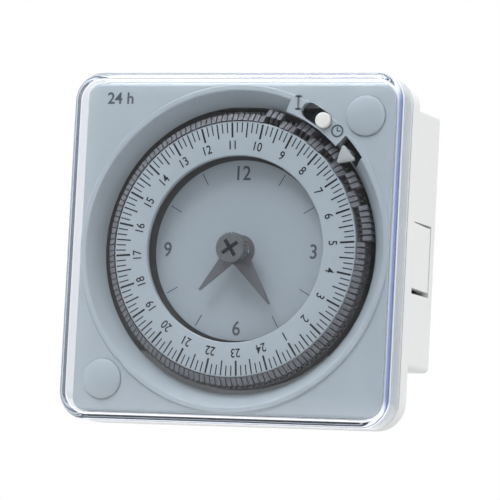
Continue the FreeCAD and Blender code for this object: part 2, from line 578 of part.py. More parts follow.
# ---------------------------------------------------------------- toothed wheels
def wheel_shape(teeth, module, thick, bore, phase):
    """A spur wheel about Y with slim straight-flanked teeth, one tooth centred on the phase angle."""
    pitch_radius = module * teeth / 2
    half = 0.42 * math.pi * module / 2
    tip = pitch_radius + 0.8 * module
    root = pitch_radius - 1.15 * module
    root_half = half + 0.364 * 1.15 * module * (1.0 if teeth >= 20 else 0.15)
    tip_half = half - 0.364 * 0.8 * module
    flank = [(root, -root_half / root), (pitch_radius, -half / pitch_radius), (tip, -tip_half / tip),
             (tip, tip_half / tip), (pitch_radius, half / pitch_radius), (root, root_half / root)]
    points = []
    for tooth in range(teeth):
        middle = math.radians(phase) + 2 * math.pi * tooth / teeth
        points += [Vector(radius * math.cos(middle + turn), 0, radius * math.sin(middle + turn)) for radius, turn in flank]
    disc = Part.Face(Part.makePolygon(points + points[:1])).extrude(BACKWARDS * thick)
    if bore > 0:
        disc = disc.cut(Part.makeCylinder(bore, thick, Vector(), BACKWARDS))
    return disc


def mesh_phase(line_angle, driver_teeth, driver_phase, teeth):
    """Phase that puts a gap of this wheel over a tooth of its driver along the line of centres."""
    driver_pitch = 360.0 / driver_teeth
    pitch = 360.0 / teeth
    return line_angle + 180.0 + ((line_angle - driver_phase) / driver_pitch + 0.5) * pitch


def axis_at(distance, angle):
    return distance * math.cos(math.radians(angle)), distance * math.sin(math.radians(angle))


def make_wheel(label, teeth, module, front, thick, bore, phase, centre=(0.0, 0.0), hub=None):
    """A wheel piece in its place, with an optional hub given as (radius, front, back)."""
    shape = wheel_shape(teeth, module, thick, bore, phase)
    if hub:
        radius, hub_front, hub_back = hub
        at = Vector(0, hub_front - front, 0)
        sleeve = Part.makeCylinder(radius, hub_back - hub_front, at, BACKWARDS)
        sleeve = sleeve.cut(Part.makeCylinder(bore, hub_back - hub_front, at, BACKWARDS))
        shape = shape.fuse(sleeve).removeSplitter()
    feature = free_shape(label, shape)
    feature.Placement = FreeCAD.Placement(Vector(centre[0], front, centre[1]), FreeCAD.Rotation())
    return feature


def train_distances():
    """Centre distances from the dial's axis to the three other axes of the train."""
    minute = size("train_module") * (size("cannon_teeth") + size("minute_wheel_teeth")) / 2
    drive = size("train_module") * (size("hour_wheel_teeth") + size("drive_wheel_teeth")) / 2
    motor = size("centre_module") * (size("centre_wheel_teeth") + size("motor_pinion_teeth")) / 2
    return minute, drive, motor


def make_train():
    teeth = {name: int(size(f"{name}_teeth")) for name in (
        "cannon", "minute_wheel", "minute_pinion", "hour_wheel", "drive_wheel", "drive_pinion",
        "dial_gear", "centre_wheel", "motor_pinion")}
    module, centre_module, thick = size("train_module"), size("centre_module"), size("wheel_thick")
    dial_module = 2 * DRIVE_DISTANCE / (teeth["dial_gear"] + teeth["drive_pinion"])
    angle_minute, angle_drive, angle_motor = (size(f"{name}_axis_angle") for name in ("minute", "drive", "motor"))
    first, second, third = size("first_layer"), size("second_layer"), size("third_layer")
    # motion work: cannon pinion to minute wheel, minute pinion to hour wheel
    make_wheel("cannon_pinion", teeth["cannon"], module, second, third - second, size("arbor_radius"), 0)
    minute_phase = mesh_phase(angle_minute, teeth["cannon"], 0, teeth["minute_wheel"])
    make_wheel("minute_wheel", teeth["minute_wheel"], module, second, thick, size("stud_bore"), minute_phase, MINUTE_AXIS)
    make_wheel("minute_pinion", teeth["minute_pinion"], module, first, second - first, size("stud_bore"), 0, MINUTE_AXIS)
    hour_phase = mesh_phase(angle_minute + 180, teeth["minute_pinion"], 0, teeth["hour_wheel"])
    make_wheel("hour_wheel", teeth["hour_wheel"], module, first, thick, size("hour_bore"), hour_phase,
               hub=(size("hour_tube"), size("hour_front"), first))
    # dial drive: hour wheel to drive wheel, drive pinion to dial gear
    drive_phase = mesh_phase(angle_drive, teeth["hour_wheel"], hour_phase, teeth["drive_wheel"])
    make_wheel("drive_wheel", teeth["drive_wheel"], module, first, thick, size("drive_arbor"), drive_phase, DRIVE_AXIS)
    make_wheel("drive_pinion", teeth["drive_pinion"], dial_module, size("dial_gear_at"), size("dial_gear_thick"),
               size("drive_arbor"), 0, DRIVE_AXIS)
    dial_phase = mesh_phase(angle_drive + 180, teeth["drive_pinion"], 0, teeth["dial_gear"])
    make_wheel("dial_gear", teeth["dial_gear"], dial_module, size("dial_gear_at"), size("dial_gear_thick"),
               size("hub_radius"), dial_phase)
    # motor drive: motor pinion to centre wheel
    make_wheel("centre_wheel", teeth["centre_wheel"], centre_module, third, thick, size("arbor_radius"), 0)
    motor_phase = mesh_phase(angle_motor, teeth["centre_wheel"], 0, teeth["motor_pinion"])
    make_wheel("motor_pinion", teeth["motor_pinion"], centre_module, third, thick, size("motor_shaft"), motor_phase,
               MOTOR_AXIS)


def make_arbors():
    x, z = (str(value) for value in MINUTE_AXIS)
    sub_part("minute_wheel_stud", rod("stud", "stud_radius", "front_plate_at", "second_layer + wheel_thick + 0.1", x, z))
    x, z = (str(value) for value in DRIVE_AXIS)
    sub_part("drive_arbor", rod("drive_arbor_body", "drive_arbor", "dial_gear_at - 0.2",
                                "rear_plate_at + movement_thick", x, z))
    x, z = (str(value) for value in MOTOR_AXIS)
    sub_part("motor_shaft", rod("motor_shaft_body", "motor_shaft", "third_layer - 0.2",
                                "rear_plate_at + movement_thick + 1.4", x, z))
    sub_part("minute_arbor", rod("minute_arbor_body", "arbor_radius", "minute_front + hand_thick",
                                 "rear_plate_at + movement_thick"))
    washer = rod("washer_disc", "arbor_radius + 1.6", "third_layer + wheel_thick", "third_layer + wheel_thick + 0.3")
    hole = rod("washer_hole", "arbor_radius", "third_layer", "rear_plate_at")
    sub_part("friction_washer", cut("friction_washer_body", washer, hole))


# ---------------------------------------------------------------- clock face, hands and knob
def make_clock_face():
    disc = rod("face_disc", "face_radius", "face_front", "face_front + face_thick")
    hole = rod("face_hole", "tube_outer", "face_front - 1", "face_front + face_thick + 1")
    sub_part("clock_face", cut("clock_face_body", disc, hole))
    clip = rod("clip_disc", "clip_radius", "face_front + face_thick", "face_front + face_thick + clip_thick")
    clip_hole = rod("clip_hole", "tube_outer", "face_front", "web_front")
    sub_part("dial_retaining_ring", cut("retaining_ring_body", clip, clip_hole))


def make_hand(label, kind, hour_angle, bore):
    """A tapered hand with a round boss; hour_angle is clockwise from twelve in degrees."""
    turn = math.radians(90 - hour_angle)
    along = Vector(math.cos(turn), 0, math.sin(turn))
    across = Vector(-math.sin(turn), 0, math.cos(turn))
    front, thick = size(f"{kind}_front"), size("hand_thick")
    half, tip, length = size(f"{kind}_half"), size("hand_tip"), size(f"{kind}_length")
    corners = [across * half, along * (length - tip) + across * tip, along * length,
               along * (length - tip) - across * tip, across * -half]
    points = [corner + Vector(0, front, 0) for corner in corners]
    blade = Part.Face(Part.makePolygon(points + points[:1])).extrude(BACKWARDS * thick)
    boss = Part.makeCylinder(half, thick, Vector(0, front, 0), BACKWARDS)
    hand = blade.fuse(boss).removeSplitter()
    if bore > 0:
        hand = hand.cut(Part.makeCylinder(bore, thick, Vector(0, front, 0), BACKWARDS))
    return free_shape(label, hand)


def make_setting_knob():
    """A knurled knob with a cross recess: one groove patterned round the rim."""
    body = doc.addObject("PartDesign::Body", "knob_body")
    barrel = body.newObject("PartDesign::AdditiveCylinder", "knob_barrel")
    barrel.Placement = FreeCAD.Placement(Vector(), TO_Y)
    bind(barrel, Radius="setting_radius", Height="setting_back - setting_front")
    place(barrel, "0", "setting_front", "0")
    rim = round_edges(body, barrel, "knob_rim", lambda edge: on_plane_y(edge, size("setting_front")), "setting_edge")
    doc.recompute()
    groove = body.newObject("PartDesign::SubtractiveCylinder", "knob_groove")
    groove.Placement = FreeCAD.Placement(Vector(), TO_Y)
    bind(groove, Radius="knurl_radius", Height="setting_back - setting_front + 1")
    place(groove, "setting_radius + knurl_radius / 4", "setting_front - 0.5", "0")
    doc.recompute()
    pattern = body.newObject("PartDesign::PolarPattern", "knob_knurl")
    pattern.Originals = [groove]
    pattern.Axis = (next(item for item in body.Origin.OriginFeatures if item.Role == "Y_Axis"), [""])
    pattern.Angle = 360
    bind(pattern, Occurrences="knurls")
    body.Tip = pattern
    doc.recompute()
    arms = []
    for number in range(2):
        arm = doc.addObject("Part::Box", f"cross_arm_{number}")
        bind(arm, Length="cross_length", Height="cross_width", Width="cross_depth + 1")
        turn = f"cross_turn + {90 * number}"
        arm.Placement = FreeCAD.Placement(Vector(), FreeCAD.Rotation(Vector(0, -1, 0), 1))
        arm.setExpression(".Placement.Rotation.Angle", formula(turn))
        place(arm, f"-cross_length / 2 * cos({turn}) + cross_width / 2 * sin({turn})", "setting_front - 1",
              f"-cross_length / 2 * sin({turn}) - cross_width / 2 * cos({turn})")
        arms.append(arm)
    return sub_part("setting_knob", cut("setting_knob_body", body, *arms))


# ---------------------------------------------------------------- movement plates, motor and switch
def make_movement_plates():
    plate = block("front_movement_block", "-tub_half + tub_wall + 0.6", "tub_half - tub_wall - 0.6", "front_plate_at",
                  "front_plate_at + movement_thick", "tub_bottom + tub_wall + 0.6", "tub_top - tub_wall - 0.6")
    corner = block("boss_clearance", "screw_place - case_boss - 0.4", "tub_half", "front_plate_at - 1",
                   "front_plate_at + 3", "screw_place - case_boss - 0.4", "tub_top")
    tube = rod("centre_tube", "tube_outer", "face_front", "front_plate_at")
    holes = [rod("centre_tube_bore", "tube_inner", "face_front - 1", "front_plate_at + 3")]
    holes.append(rod("drive_bore_front", "drive_arbor + pivot_play", "front_plate_at - 1", "front_plate_at + 3",
                     *(str(value) for value in DRIVE_AXIS)))
    holes.append(rod("lever_bore", "lever_arbor + pivot_play", "front_plate_at - 1", "front_plate_at + 3",
                     "lever_x", "lever_z"))
    holes.append(rod("stud_seat", "stud_radius", "front_plate_at - 1", "front_plate_at + 3",
                     *(str(value) for value in MINUTE_AXIS)))
    holes += [rod(f"front_plate_hole_{i}", "screw_shank - 0.15", "front_plate_at - 1", "front_plate_at + 3", x, z)
              for i, (x, z) in enumerate(MOVEMENT_SCREWS)]
    sub_part("front_movement_plate", cut("front_movement_body", fuse("front_movement_solid", plate, tube), corner,
                                         fuse("front_movement_holes", *holes)))
    rear = rounded_block("rear_movement_block", "-21", "21", "rear_plate_at", "rear_plate_at + movement_thick",
                         "-17", "17", "2")
    rear_holes = [rod("arbor_bore_rear", "arbor_radius + pivot_play", "rear_plate_at - 1", "rear_plate_at + 3"),
                  rod("drive_bore_rear", "drive_arbor + pivot_play", "rear_plate_at - 1", "rear_plate_at + 3",
                      *(str(value) for value in DRIVE_AXIS)),
                  rod("motor_bore_rear", "motor_shaft + 1", "rear_plate_at - 1", "rear_plate_at + 3",
                      *(str(value) for value in MOTOR_AXIS))]
    sub_part("rear_movement_plate", cut("rear_movement_body", rear, fuse("rear_movement_holes", *rear_holes)))
    pillars = [rod(f"pillar_{i}", "1.5", "front_plate_at + movement_thick", "rear_plate_at", x, z)
               for i, (x, z) in enumerate((("18", "14"), ("-18", "14"), ("18", "-14"), ("-18", "-14")))]
    sub_part("movement_pillars", compound("pillar_set", pillars))
    screws = []
    for i, (x, z) in enumerate(MOVEMENT_SCREWS):
        head = rod(f"movement_head_{i}", "1.9", "front_plate_at - 1", "front_plate_at", x, z)
        shank = rod(f"movement_shank_{i}", "screw_shank - 0.25", "front_plate_at", "case_boss_end - 1.2", x, z)
        screws.append(fuse(f"movement_screw_{i}", head, shank))
    sub_part("movement_screws", compound("movement_screw_set", screws))


def make_motor():
    can = rod("motor_drum", "motor_radius", "rear_plate_at + movement_thick", "motor_back", "motor_x", "motor_z")
    ears = block("motor_ears", "motor_x - ear_half", "motor_x + ear_half", "rear_plate_at + movement_thick",
                 "rear_plate_at + movement_thick + ear_thick", "motor_z - ear_height", "motor_z + ear_height")
    well = rod("motor_shaft_well", "motor_shaft + pivot_play", "rear_plate_at", "rear_plate_at + movement_thick + 1.6",
               *(str(value) for value in MOTOR_AXIS))
    ear_holes = [rod(f"ear_hole_{i}", "1.0", "rear_plate_at", "motor_back", x, "motor_z")
                 for i, x in enumerate(EAR_SCREWS)]
    clear = rod("arbor_clearance", "arbor_radius + 0.5", "rear_plate_at", "rear_plate_at + movement_thick + 0.5")
    drive_clear = rod("drive_clearance", "drive_arbor + 0.5", "rear_plate_at", "rear_plate_at + movement_thick + 0.5",
                      *(str(value) for value in DRIVE_AXIS))
    sub_part("motor_can", cut("motor_can_body", fuse("motor_solid", can, ears), well, clear, drive_clear, *ear_holes))
    screws = [fuse(f"motor_screw_{i}", rod(f"motor_screw_head_{i}", "1.7", "rear_plate_at + movement_thick + ear_thick",
                                           "rear_plate_at + movement_thick + ear_thick + 1", x, "motor_z"),
                   rod(f"motor_screw_shank_{i}", "1.0", "rear_plate_at + movement_thick",
                       "rear_plate_at + movement_thick + ear_thick", x, "motor_z"))
              for i, x in enumerate(EAR_SCREWS)]
    sub_part("motor_screws", compound("motor_screw_pair", screws))


def make_lever_and_switch():
    reach = math.hypot(size("lever_x"), size("lever_z"))
    finger = math.radians(size("finger_angle"))
    tip = Vector(size("finger_radius") * math.cos(finger), 0, size("finger_radius") * math.sin(finger))
    pivot = Vector(size("lever_x"), 0, size("lever_z"))
    arm_length = (tip - pivot).Length
    arm_angle = math.degrees(math.atan2(tip.z - pivot.z, tip.x - pivot.x))
    front, thick = size("finger_front"), size("finger_back") - size("finger_front")
    half = size("finger_half")
    arm = Part.makeBox(arm_length, thick, 2 * half, Vector(0, front, -half))
    arm.rotate(Vector(), Vector(0, -1, 0), arm_angle)
    arm.translate(pivot)
    nose = Part.makeCylinder(half, thick, Vector(tip.x, front, tip.z), BACKWARDS)
    boss = Part.makeCylinder(size("lever_boss"), thick, Vector(pivot.x, front, pivot.z), BACKWARDS)
    arbor = Part.makeCylinder(size("lever_arbor"), size("tail_back") - front, Vector(pivot.x, front, pivot.z), BACKWARDS)
    tail_thick = size("tail_back") - size("tail_front")
    tail_half = size("tail_half")
    tail = Part.makeBox(2 * tail_half, tail_thick, size("tail_length") + tail_half,
                        Vector(pivot.x - tail_half, size("tail_front"), pivot.z - size("tail_length") - tail_half))
    tail_boss = Part.makeCylinder(size("lever_boss"), tail_thick, Vector(pivot.x, size("tail_front"), pivot.z), BACKWARDS)
    free_shape("sensing_lever", arm.multiFuse([nose, boss, arbor, tail, tail_boss]).removeSplitter())
    assert reach > size("carrier_radius"), "the lever's pivot stands outside the dial"

    body = block("switch_block", "switch_left", "switch_right", "switch_front", "switch_back", "switch_low", "switch_high")
    middle = "(switch_front + switch_back) / 2"
    well = x_rod("plunger_well", "plunger_radius + plunger_gap", "switch_right - plunger_depth - 1", "switch_right + 1",
                 middle, "lever_z - tail_length")
    sub_part("switch_case", cut("switch_case_body", body, well))
    sub_part("switch_plunger", x_rod("plunger", "plunger_radius", "switch_right - plunger_depth",
                                     "lever_x - tail_half - 2 * plunger_gap", middle, "lever_z - tail_length"))
    centre = "(switch_low + switch_high) / 2"
    blades = [block(f"switch_blade_{i}", "switch_left - blade_length", "switch_left", f"{middle} - 0.3", f"{middle} + 0.3",
                    f"{centre} + {i - 1} * blade_pitch - blade_half", f"{centre} + {i - 1} * blade_pitch + blade_half")
              for i in range(3)]
    sub_part("switch_blades", compound("switch_blade_set", blades))


def x_rod(name, radius, left, right, y, z):
    """A cylinder along X."""
    cylinder = doc.addObject("Part::Cylinder", name)
    cylinder.Placement = FreeCAD.Placement(Vector(), FreeCAD.Rotation(Vector(0, 1, 0), 90))
    bind(cylinder, Radius=radius, Height=f"({right}) - ({left})")
    place(cylinder, left, y, z)
    return cylinder


# ---------------------------------------------------------------- terminals
def make_terminals():
    block_body = block("terminal_housing", "-block_half", "block_half", "0", "block_back", "block_low", "tub_bottom")
    tools, cages, screws = [], [], []
    for i, x in enumerate(TERMINALS):
        tools.append(block(f"chamber_{i}", f"{x} - chamber_half", f"{x} + chamber_half", "chamber_front", "chamber_back",
                           "chamber_low", "chamber_high"))
        tools.append(rod(f"driver_way_{i}", "driver_radius", "chamber_back - 1", "block_back + 1", x, "terminal_screw_z"))
        wire = doc.addObject("Part::Cylinder", f"wire_way_{i}")
        bind(wire, Radius="wire_radius", Height="chamber_low - block_low + 2")
        place(wire, x, "wire_y", "block_low - 1")
        tools.append(wire)
        tools.append(block(f"tab_way_{i}", f"{x} - tab_half - 0.2", f"{x} + tab_half + 0.2", "wire_y - 0.2",
                           "wire_y + tab_thick + 0.2", "chamber_high - 1", "tub_bottom + 1"))
        left, right = f"{x} - chamber_half + cage_gap", f"{x} + chamber_half - cage_gap"
        low, high = "chamber_low + cage_gap", "chamber_high - cage_gap"
        cage = block(f"cage_{i}", left, right, "chamber_front + cage_gap", "chamber_back - cage_gap", low, high)
        window = block(f"cage_window_{i}", f"{left} + cage_wall", f"{right} - cage_wall",
                       "chamber_front + cage_gap + cage_wall", "chamber_back - cage_gap - cage_wall - 0.6",
                       "chamber_low - 1", "chamber_high - cage_gap - cage_wall")
        thread = rod(f"cage_thread_{i}", "terminal_shank", "wire_y", "chamber_back + 1", x, "terminal_screw_z")
        tab = block(f"tab_{i}", f"{x} - tab_half", f"{x} + tab_half", "wire_y", "wire_y + tab_thick",
                    "chamber_high - cage_gap - cage_wall", "tab_top")
        cages.append(fuse(f"clamp_{i}", cut(f"cage_body_{i}", cage, window, thread), tab))
        shank = rod(f"terminal_shank_{i}", "terminal_shank", "wire_y + 1.2", "terminal_head_back - terminal_head_thick",
                    x, "terminal_screw_z")
        head = rod(f"terminal_head_{i}", "terminal_head", "terminal_head_back - terminal_head_thick", "terminal_head_back",
                   x, "terminal_screw_z")
        drive = block(f"terminal_slot_{i}", f"{x} - terminal_head", f"{x} + terminal_head", "terminal_head_back - 0.8",
                      "terminal_head_back + 1", "terminal_screw_z - 0.35", "terminal_screw_z + 0.35")
        screws.append(cut(f"terminal_screw_{i}", fuse(f"terminal_solid_{i}", head, shank), drive))
    sub_part("terminal_block", cut("terminal_block_body", block_body, fuse("terminal_ways", *tools)))
    sub_part("terminal_clamps", compound("terminal_clamp_set", cages))
    sub_part("terminal_screws", compound("terminal_screw_set", screws))


# ---------------------------------------------------------------- places worked out from the sizes
MINUTE_DISTANCE, DRIVE_DISTANCE, MOTOR_DISTANCE = train_distances()
MINUTE_AXIS = axis_at(MINUTE_DISTANCE, size("minute_axis_angle"))
DRIVE_AXIS = axis_at(DRIVE_DISTANCE, size("drive_axis_angle"))
MOTOR_AXIS = axis_at(MOTOR_DISTANCE, size("motor_axis_angle"))
MOVEMENT_SCREWS = (("28.6", "-17.6"), ("-28.6", "-17.6"), ("-28.6", "26.2"))
EAR_SCREWS = ("motor_x - ear_half + 1.9", "motor_x + ear_half - 1.9")
TERMINALS = tuple(f"{step} * terminal_pitch" for step in range(-2, 3))
OUT_GROUPS = (30, 33, 39, 45, 51, 57)

make_case()
make_latch("right_latch", 1)
make_latch("left_latch", -1)
make_rear_cover()
make_cover()
make_front_plate()
make_plugs_and_screws()
make_override_slide()
make_pointer()
make_program_ring()
make_dial_carrier()
make_tappets()
make_train()
make_arbors()
make_clock_face()
make_hand("hour_hand", "hour", 30 * size("hours_shown"), size("hour_tube"))
make_hand("minute_hand", "minute", 360 * (size("hours_shown") % 1), 0)
make_setting_knob()
make_movement_plates()
make_motor()
make_lever_and_switch()
make_terminals()

# ---------------------------------------------------------------- checks and export
doc.recompute()
failed = [item.Label for item in doc.Objects if "Invalid" in item.State or "Error" in item.State]
assert not failed, f"failed objects: {failed}"
os.makedirs("parts", exist_ok=True)
for label, thing in NODES.items():
    shape = thing.Shape
    assert not shape.isNull() and shape.isValid(), f"{label} has no valid shape"
    assert all(solid.Volume > 0 for solid in shape.Solids) and shape.Solids, f"{label} holds no solid"
    shape.exportStep(f"parts/{label}.step")
    print(f"{label}: {len(shape.Solids)} solid(s), {shape.Volume:.1f} mm3")
print(len(NODES), "sub-parts")
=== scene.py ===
# %% [markdown]
# # A panel-mounting 24-hour timer
# This lesson dresses the finished mechanical model of a programmable timer. The solids, their
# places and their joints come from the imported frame. What is made here is the look: printing,
# finishes, the clear cover, light and camera.

# %% Load the frame
import json
import math

import bpy
import numpy as np
from mathutils import Matrix, Vector


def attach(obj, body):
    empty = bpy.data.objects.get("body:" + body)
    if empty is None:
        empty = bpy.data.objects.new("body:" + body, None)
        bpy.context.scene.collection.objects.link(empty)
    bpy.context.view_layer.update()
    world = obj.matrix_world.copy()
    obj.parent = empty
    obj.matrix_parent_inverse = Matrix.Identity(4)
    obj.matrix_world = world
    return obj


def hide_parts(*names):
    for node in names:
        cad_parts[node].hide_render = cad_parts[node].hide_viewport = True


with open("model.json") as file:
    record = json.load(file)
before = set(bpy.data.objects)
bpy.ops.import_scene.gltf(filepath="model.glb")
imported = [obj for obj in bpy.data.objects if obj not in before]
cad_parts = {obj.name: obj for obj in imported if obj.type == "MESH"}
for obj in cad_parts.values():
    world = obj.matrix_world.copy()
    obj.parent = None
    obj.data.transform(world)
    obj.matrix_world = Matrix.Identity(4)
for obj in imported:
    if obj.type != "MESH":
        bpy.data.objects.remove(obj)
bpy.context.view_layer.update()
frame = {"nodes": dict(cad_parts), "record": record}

MM = 0.001
nodes = frame["nodes"]

# %% [markdown]
# The view is that of a small product shot: a long lens about 0.83 m away, a little to the right
# of the dial and a little below it, with the camera rolled by three degrees. The camera's three
# axes are worked out from those angles, and its place follows from the distance.

# %% The camera
LENS_MM, SENSOR_MM = 294.45, 36.0
YAW, PITCH, ROLL = 0.368077, -0.0916849, 0.0513382
DISTANCE, SHIFT_RIGHT, SHIFT_UP = 833.277, -4.0012, 0.4829
LOOKED_AT = Vector((0.0, -9.8, 0.0))

back = Vector((math.sin(YAW) * math.cos(PITCH), -math.cos(YAW) * math.cos(PITCH), math.sin(PITCH)))
level_right = Vector((math.cos(YAW), math.sin(YAW), 0.0))
level_up = back.cross(level_right)
right = math.cos(ROLL) * level_right + math.sin(ROLL) * level_up
up = -math.sin(ROLL) * level_right + math.cos(ROLL) * level_up
place = (LOOKED_AT - SHIFT_RIGHT * right - SHIFT_UP * up + DISTANCE * back) * MM

camera = bpy.data.objects.new("camera", bpy.data.cameras.new("camera"))
camera.data.lens, camera.data.sensor_width = LENS_MM, SENSOR_MM
camera.data.clip_start, camera.data.clip_end = 0.05, 20.0
camera.matrix_world = Matrix.Translation(place) @ Matrix((right, up, back)).transposed().to_4x4()
bpy.context.scene.collection.objects.link(camera)
bpy.context.scene.camera = camera
print("camera at", [round(v, 4) for v in place])

# %% [markdown]
# Soft studio light: a white surround, brighter overhead than underneath, does most of the work,
# as in a light tent, and one large lamp from above gives the raised shapes a lit side and a
# shaded side. The tent has a dark patch in front and to the left, where the cover would mirror
# it: without that patch its reflection lies over the dial like milk. The patch fades towards the
# lower left, so a soft gleam is left there. The floor is a pale sheet well below the timer,
# because a panel timer has nothing of its own to stand on.

# %% Surround, lamps and floor
bpy.context.scene.view_settings.view_transform = "Standard"
FLOOR_LEVEL, FLOOR_HALF = -0.115, 1.6


def lamp(name, place, size, watts, colour=(1.0, 1.0, 1.0)):
    """An area lamp at a place in metres, facing the dial."""
    light = bpy.data.objects.new(name, bpy.data.lights.new(name, "AREA"))
    light.data.shape, light.data.size, light.data.size_y = "RECTANGLE", *size
    light.data.energy, light.data.color = watts, colour
    light.location = place
    light.rotation_euler = (-Vector(place)).to_track_quat("-Z", "Y").to_euler()
    bpy.context.scene.collection.objects.link(light)
    return light


lamp("key_lamp", (-0.25, -0.55, 0.95), (0.45, 0.45), 7.0)
lamp("side_lamp", (0.9, -0.25, 0.25), (0.4, 0.8), 1.0)
UNDER, OVERHEAD = 0.4, 1.3
MIRRORED, PATCH = (-0.05, -0.9, 0.43), 0.12
world = bpy.data.worlds.new("surround")
world.use_nodes = True
sky, link = world.node_tree.nodes, world.node_tree.links.new
height, parts, fade = (sky.new("ShaderNode" + kind) for kind in ("TexCoord", "SeparateXYZ", "MapRange"))
ahead, patch, dimmed = (sky.new("ShaderNode" + kind) for kind in ("VectorMath", "MapRange", "Math"))
ahead.operation, dimmed.operation = "DOT_PRODUCT", "MULTIPLY"
ahead.inputs[1].default_value = MIRRORED
patch.inputs["From Min"].default_value, patch.inputs["From Max"].default_value = 0.855, 0.91
patch.inputs["To Min"].default_value, patch.inputs["To Max"].default_value = 1.0, PATCH
seen, shown = sky.new("ShaderNodeLightPath"), sky.new("ShaderNodeMix")
fade.inputs["From Min"].default_value, fade.inputs["From Max"].default_value = -0.7, 0.7
fade.inputs["To Min"].default_value, fade.inputs["To Max"].default_value = UNDER, OVERHEAD
shown.inputs["B"].default_value = 1.0
link(height.outputs["Generated"], parts.inputs["Vector"])
link(parts.outputs["Z"], fade.inputs["Value"])
link(height.outputs["Generated"], ahead.inputs[0])
link(ahead.outputs["Value"], patch.inputs["Value"])
link(fade.outputs["Result"], dimmed.inputs[0])
link(patch.outputs["Result"], dimmed.inputs[1])
link(dimmed.outputs["Value"], shown.inputs["A"])
link(seen.outputs["Is Camera Ray"], shown.inputs["Factor"])
link(shown.outputs["Result"], sky["Background"].inputs["Strength"])
sky["Background"].inputs["Color"].default_value = (1.0, 1.0, 1.0, 1.0)
bpy.context.scene.world = world

# %% [markdown]
# Every new piece is a set of points worked out as whole arrays, then handed to the mesh in one
# go. A grid of points becomes a skin of four-cornered faces; its rows or columns may run round
# and join up, which closes the skin.

# %% Arrays into meshes
SHARP_ABOVE = math.radians(35)


def skin_faces(rows, columns, wrap_rows=False, wrap_columns=False):
    """Corner numbers of the quads between neighbours of a grid: (i, j), (i+1, j), (i+1, j+1), (i, j+1)."""
    i = np.arange(rows if wrap_rows else rows - 1)[:, None]
    j = np.arange(columns if wrap_columns else columns - 1)[None, :]
    i2, j2 = (i + 1) % rows, (j + 1) % columns
    corners = [i * columns + j, i2 * columns + j, i2 * columns + j2, i * columns + j2]
    return np.stack([np.broadcast_to(c, (i.size, j.size)) for c in corners], axis=-1).reshape(-1, 4)


def put_in_scene(name, points, faces, material, body, slot, smooth=True):
    """A mesh object from points in millimetres (n x 3) and faces: one array, or a list of arrays with one
    array for the quads and one for the triangles."""
    faces = faces if isinstance(faces, list) else [faces]
    mesh = bpy.data.meshes.new(name)
    mesh.vertices.add(len(points))
    mesh.vertices.foreach_set("co", (np.asarray(points, np.float64) * MM).ravel().astype(np.float32))
    corner_counts = np.concatenate([np.full(len(f), f.shape[1]) for f in faces])
    starts = np.concatenate([[0], np.cumsum(corner_counts)[:-1]])
    mesh.loops.add(int(corner_counts.sum()))
    mesh.loops.foreach_set("vertex_index", np.concatenate([f.ravel() for f in faces]).astype(np.int32))
    mesh.polygons.add(len(corner_counts))
    mesh.polygons.foreach_set("loop_start", starts.astype(np.int32))
    mesh.update(calc_edges=True)
    mesh.polygons.foreach_set("use_smooth", np.full(len(corner_counts), smooth))
    mesh.validate()
    if smooth:
        mesh.set_sharp_from_angle(angle=SHARP_ABOVE)
    piece = bpy.data.objects.new(name, mesh)
    bpy.context.scene.collection.objects.link(piece)
    piece.data.materials.append(material)
    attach(piece, body)
    print(name, "vertices", len(mesh.vertices), "faces", len(mesh.polygons))
    return piece


# %% [markdown]
# The dial ring, the knurled knob and the round button are turned shapes: a line drawn on one side
# of an axis and carried round it. A modelling lathe, Blender's Screw modifier, could do it; here
# the sines and cosines are written out, because a knurl or a gap is then one more factor.

# %% A lathe
def quarter_round(centre, radius, start, end, steps=8):
    """Points of an arc, as centre + radius (cos a, sin a), with a running from start to end in degrees."""
    a = np.radians(np.linspace(start, end, steps))
    return np.stack([centre[0] + radius * np.cos(a), centre[1] + radius * np.sin(a)], -1)


def lathe(profile, steps=96, x=0.0, z=0.0, solid=False, ridges=0, ridge_height=0.0, ridged=None):
    """A profile of (radius, y) carried round the line through (x, z): (x + r cos a, y, z + r sin a). Where
    ridged is 1 the radius grows by ridge_height (1 + cos(ridges a)) / 2. A solid one is closed by a fan at
    each end."""
    radius, y = np.asarray(profile, float).T
    a = np.linspace(0, 2 * np.pi, steps, endpoint=False)
    wave = ridge_height * (1 + np.cos(ridges * a)) / 2
    share = np.zeros(len(radius)) if ridged is None else np.asarray(ridged, float)
    r = radius[:, None] + share[:, None] * wave
    grid = np.stack([x + r * np.cos(a), np.broadcast_to(y[:, None], r.shape), z + r * np.sin(a)], -1)
    points = grid.reshape(-1, 3)
    if not solid:
        return points, [skin_faces(len(radius), steps, True, True)]
    j, last = np.arange(steps), (len(radius) - 1) * steps
    front = np.stack([np.full(steps, len(points)), j, np.roll(j, -1)], -1)
    rear = np.stack([np.full(steps, len(points) + 1), last + np.roll(j, -1), last + j], -1)
    ends = [(x, y[0], z), (x, y[-1], z)]
    return np.concatenate([points, ends]), [skin_faces(len(radius), steps, wrap_columns=True), front, rear]


def sector_block(inner, outer, start, end, front, back, steps=24):
    """A part of a flat ring: the four corners of its section at (r cos a, y, r sin a), with a from start
    to end in degrees."""
    a = np.radians(np.linspace(start, end, steps))
    r, y = np.array([inner, outer, outer, inner])[:, None], np.array([front, front, back, back])[:, None]
    points = np.stack([r * np.cos(a), np.broadcast_to(y, (4, steps)), r * np.sin(a)], -1).reshape(-1, 3)
    first, last = np.array([[0, 3, 2, 1]]) * steps, np.array([[0, 1, 2, 3]]) * steps + steps - 1
    return points, [skin_faces(4, steps, wrap_rows=True), first, last]


def joined(*parts):
    """Several (points, faces) sets as one."""
    counts = np.cumsum([0] + [len(p) for p, _ in parts[:-1]])
    lists = [f if isinstance(f, list) else [f] for _, f in parts]
    return np.concatenate([p for p, _ in parts]), [f + c for group, c in zip(lists, counts) for f in group]


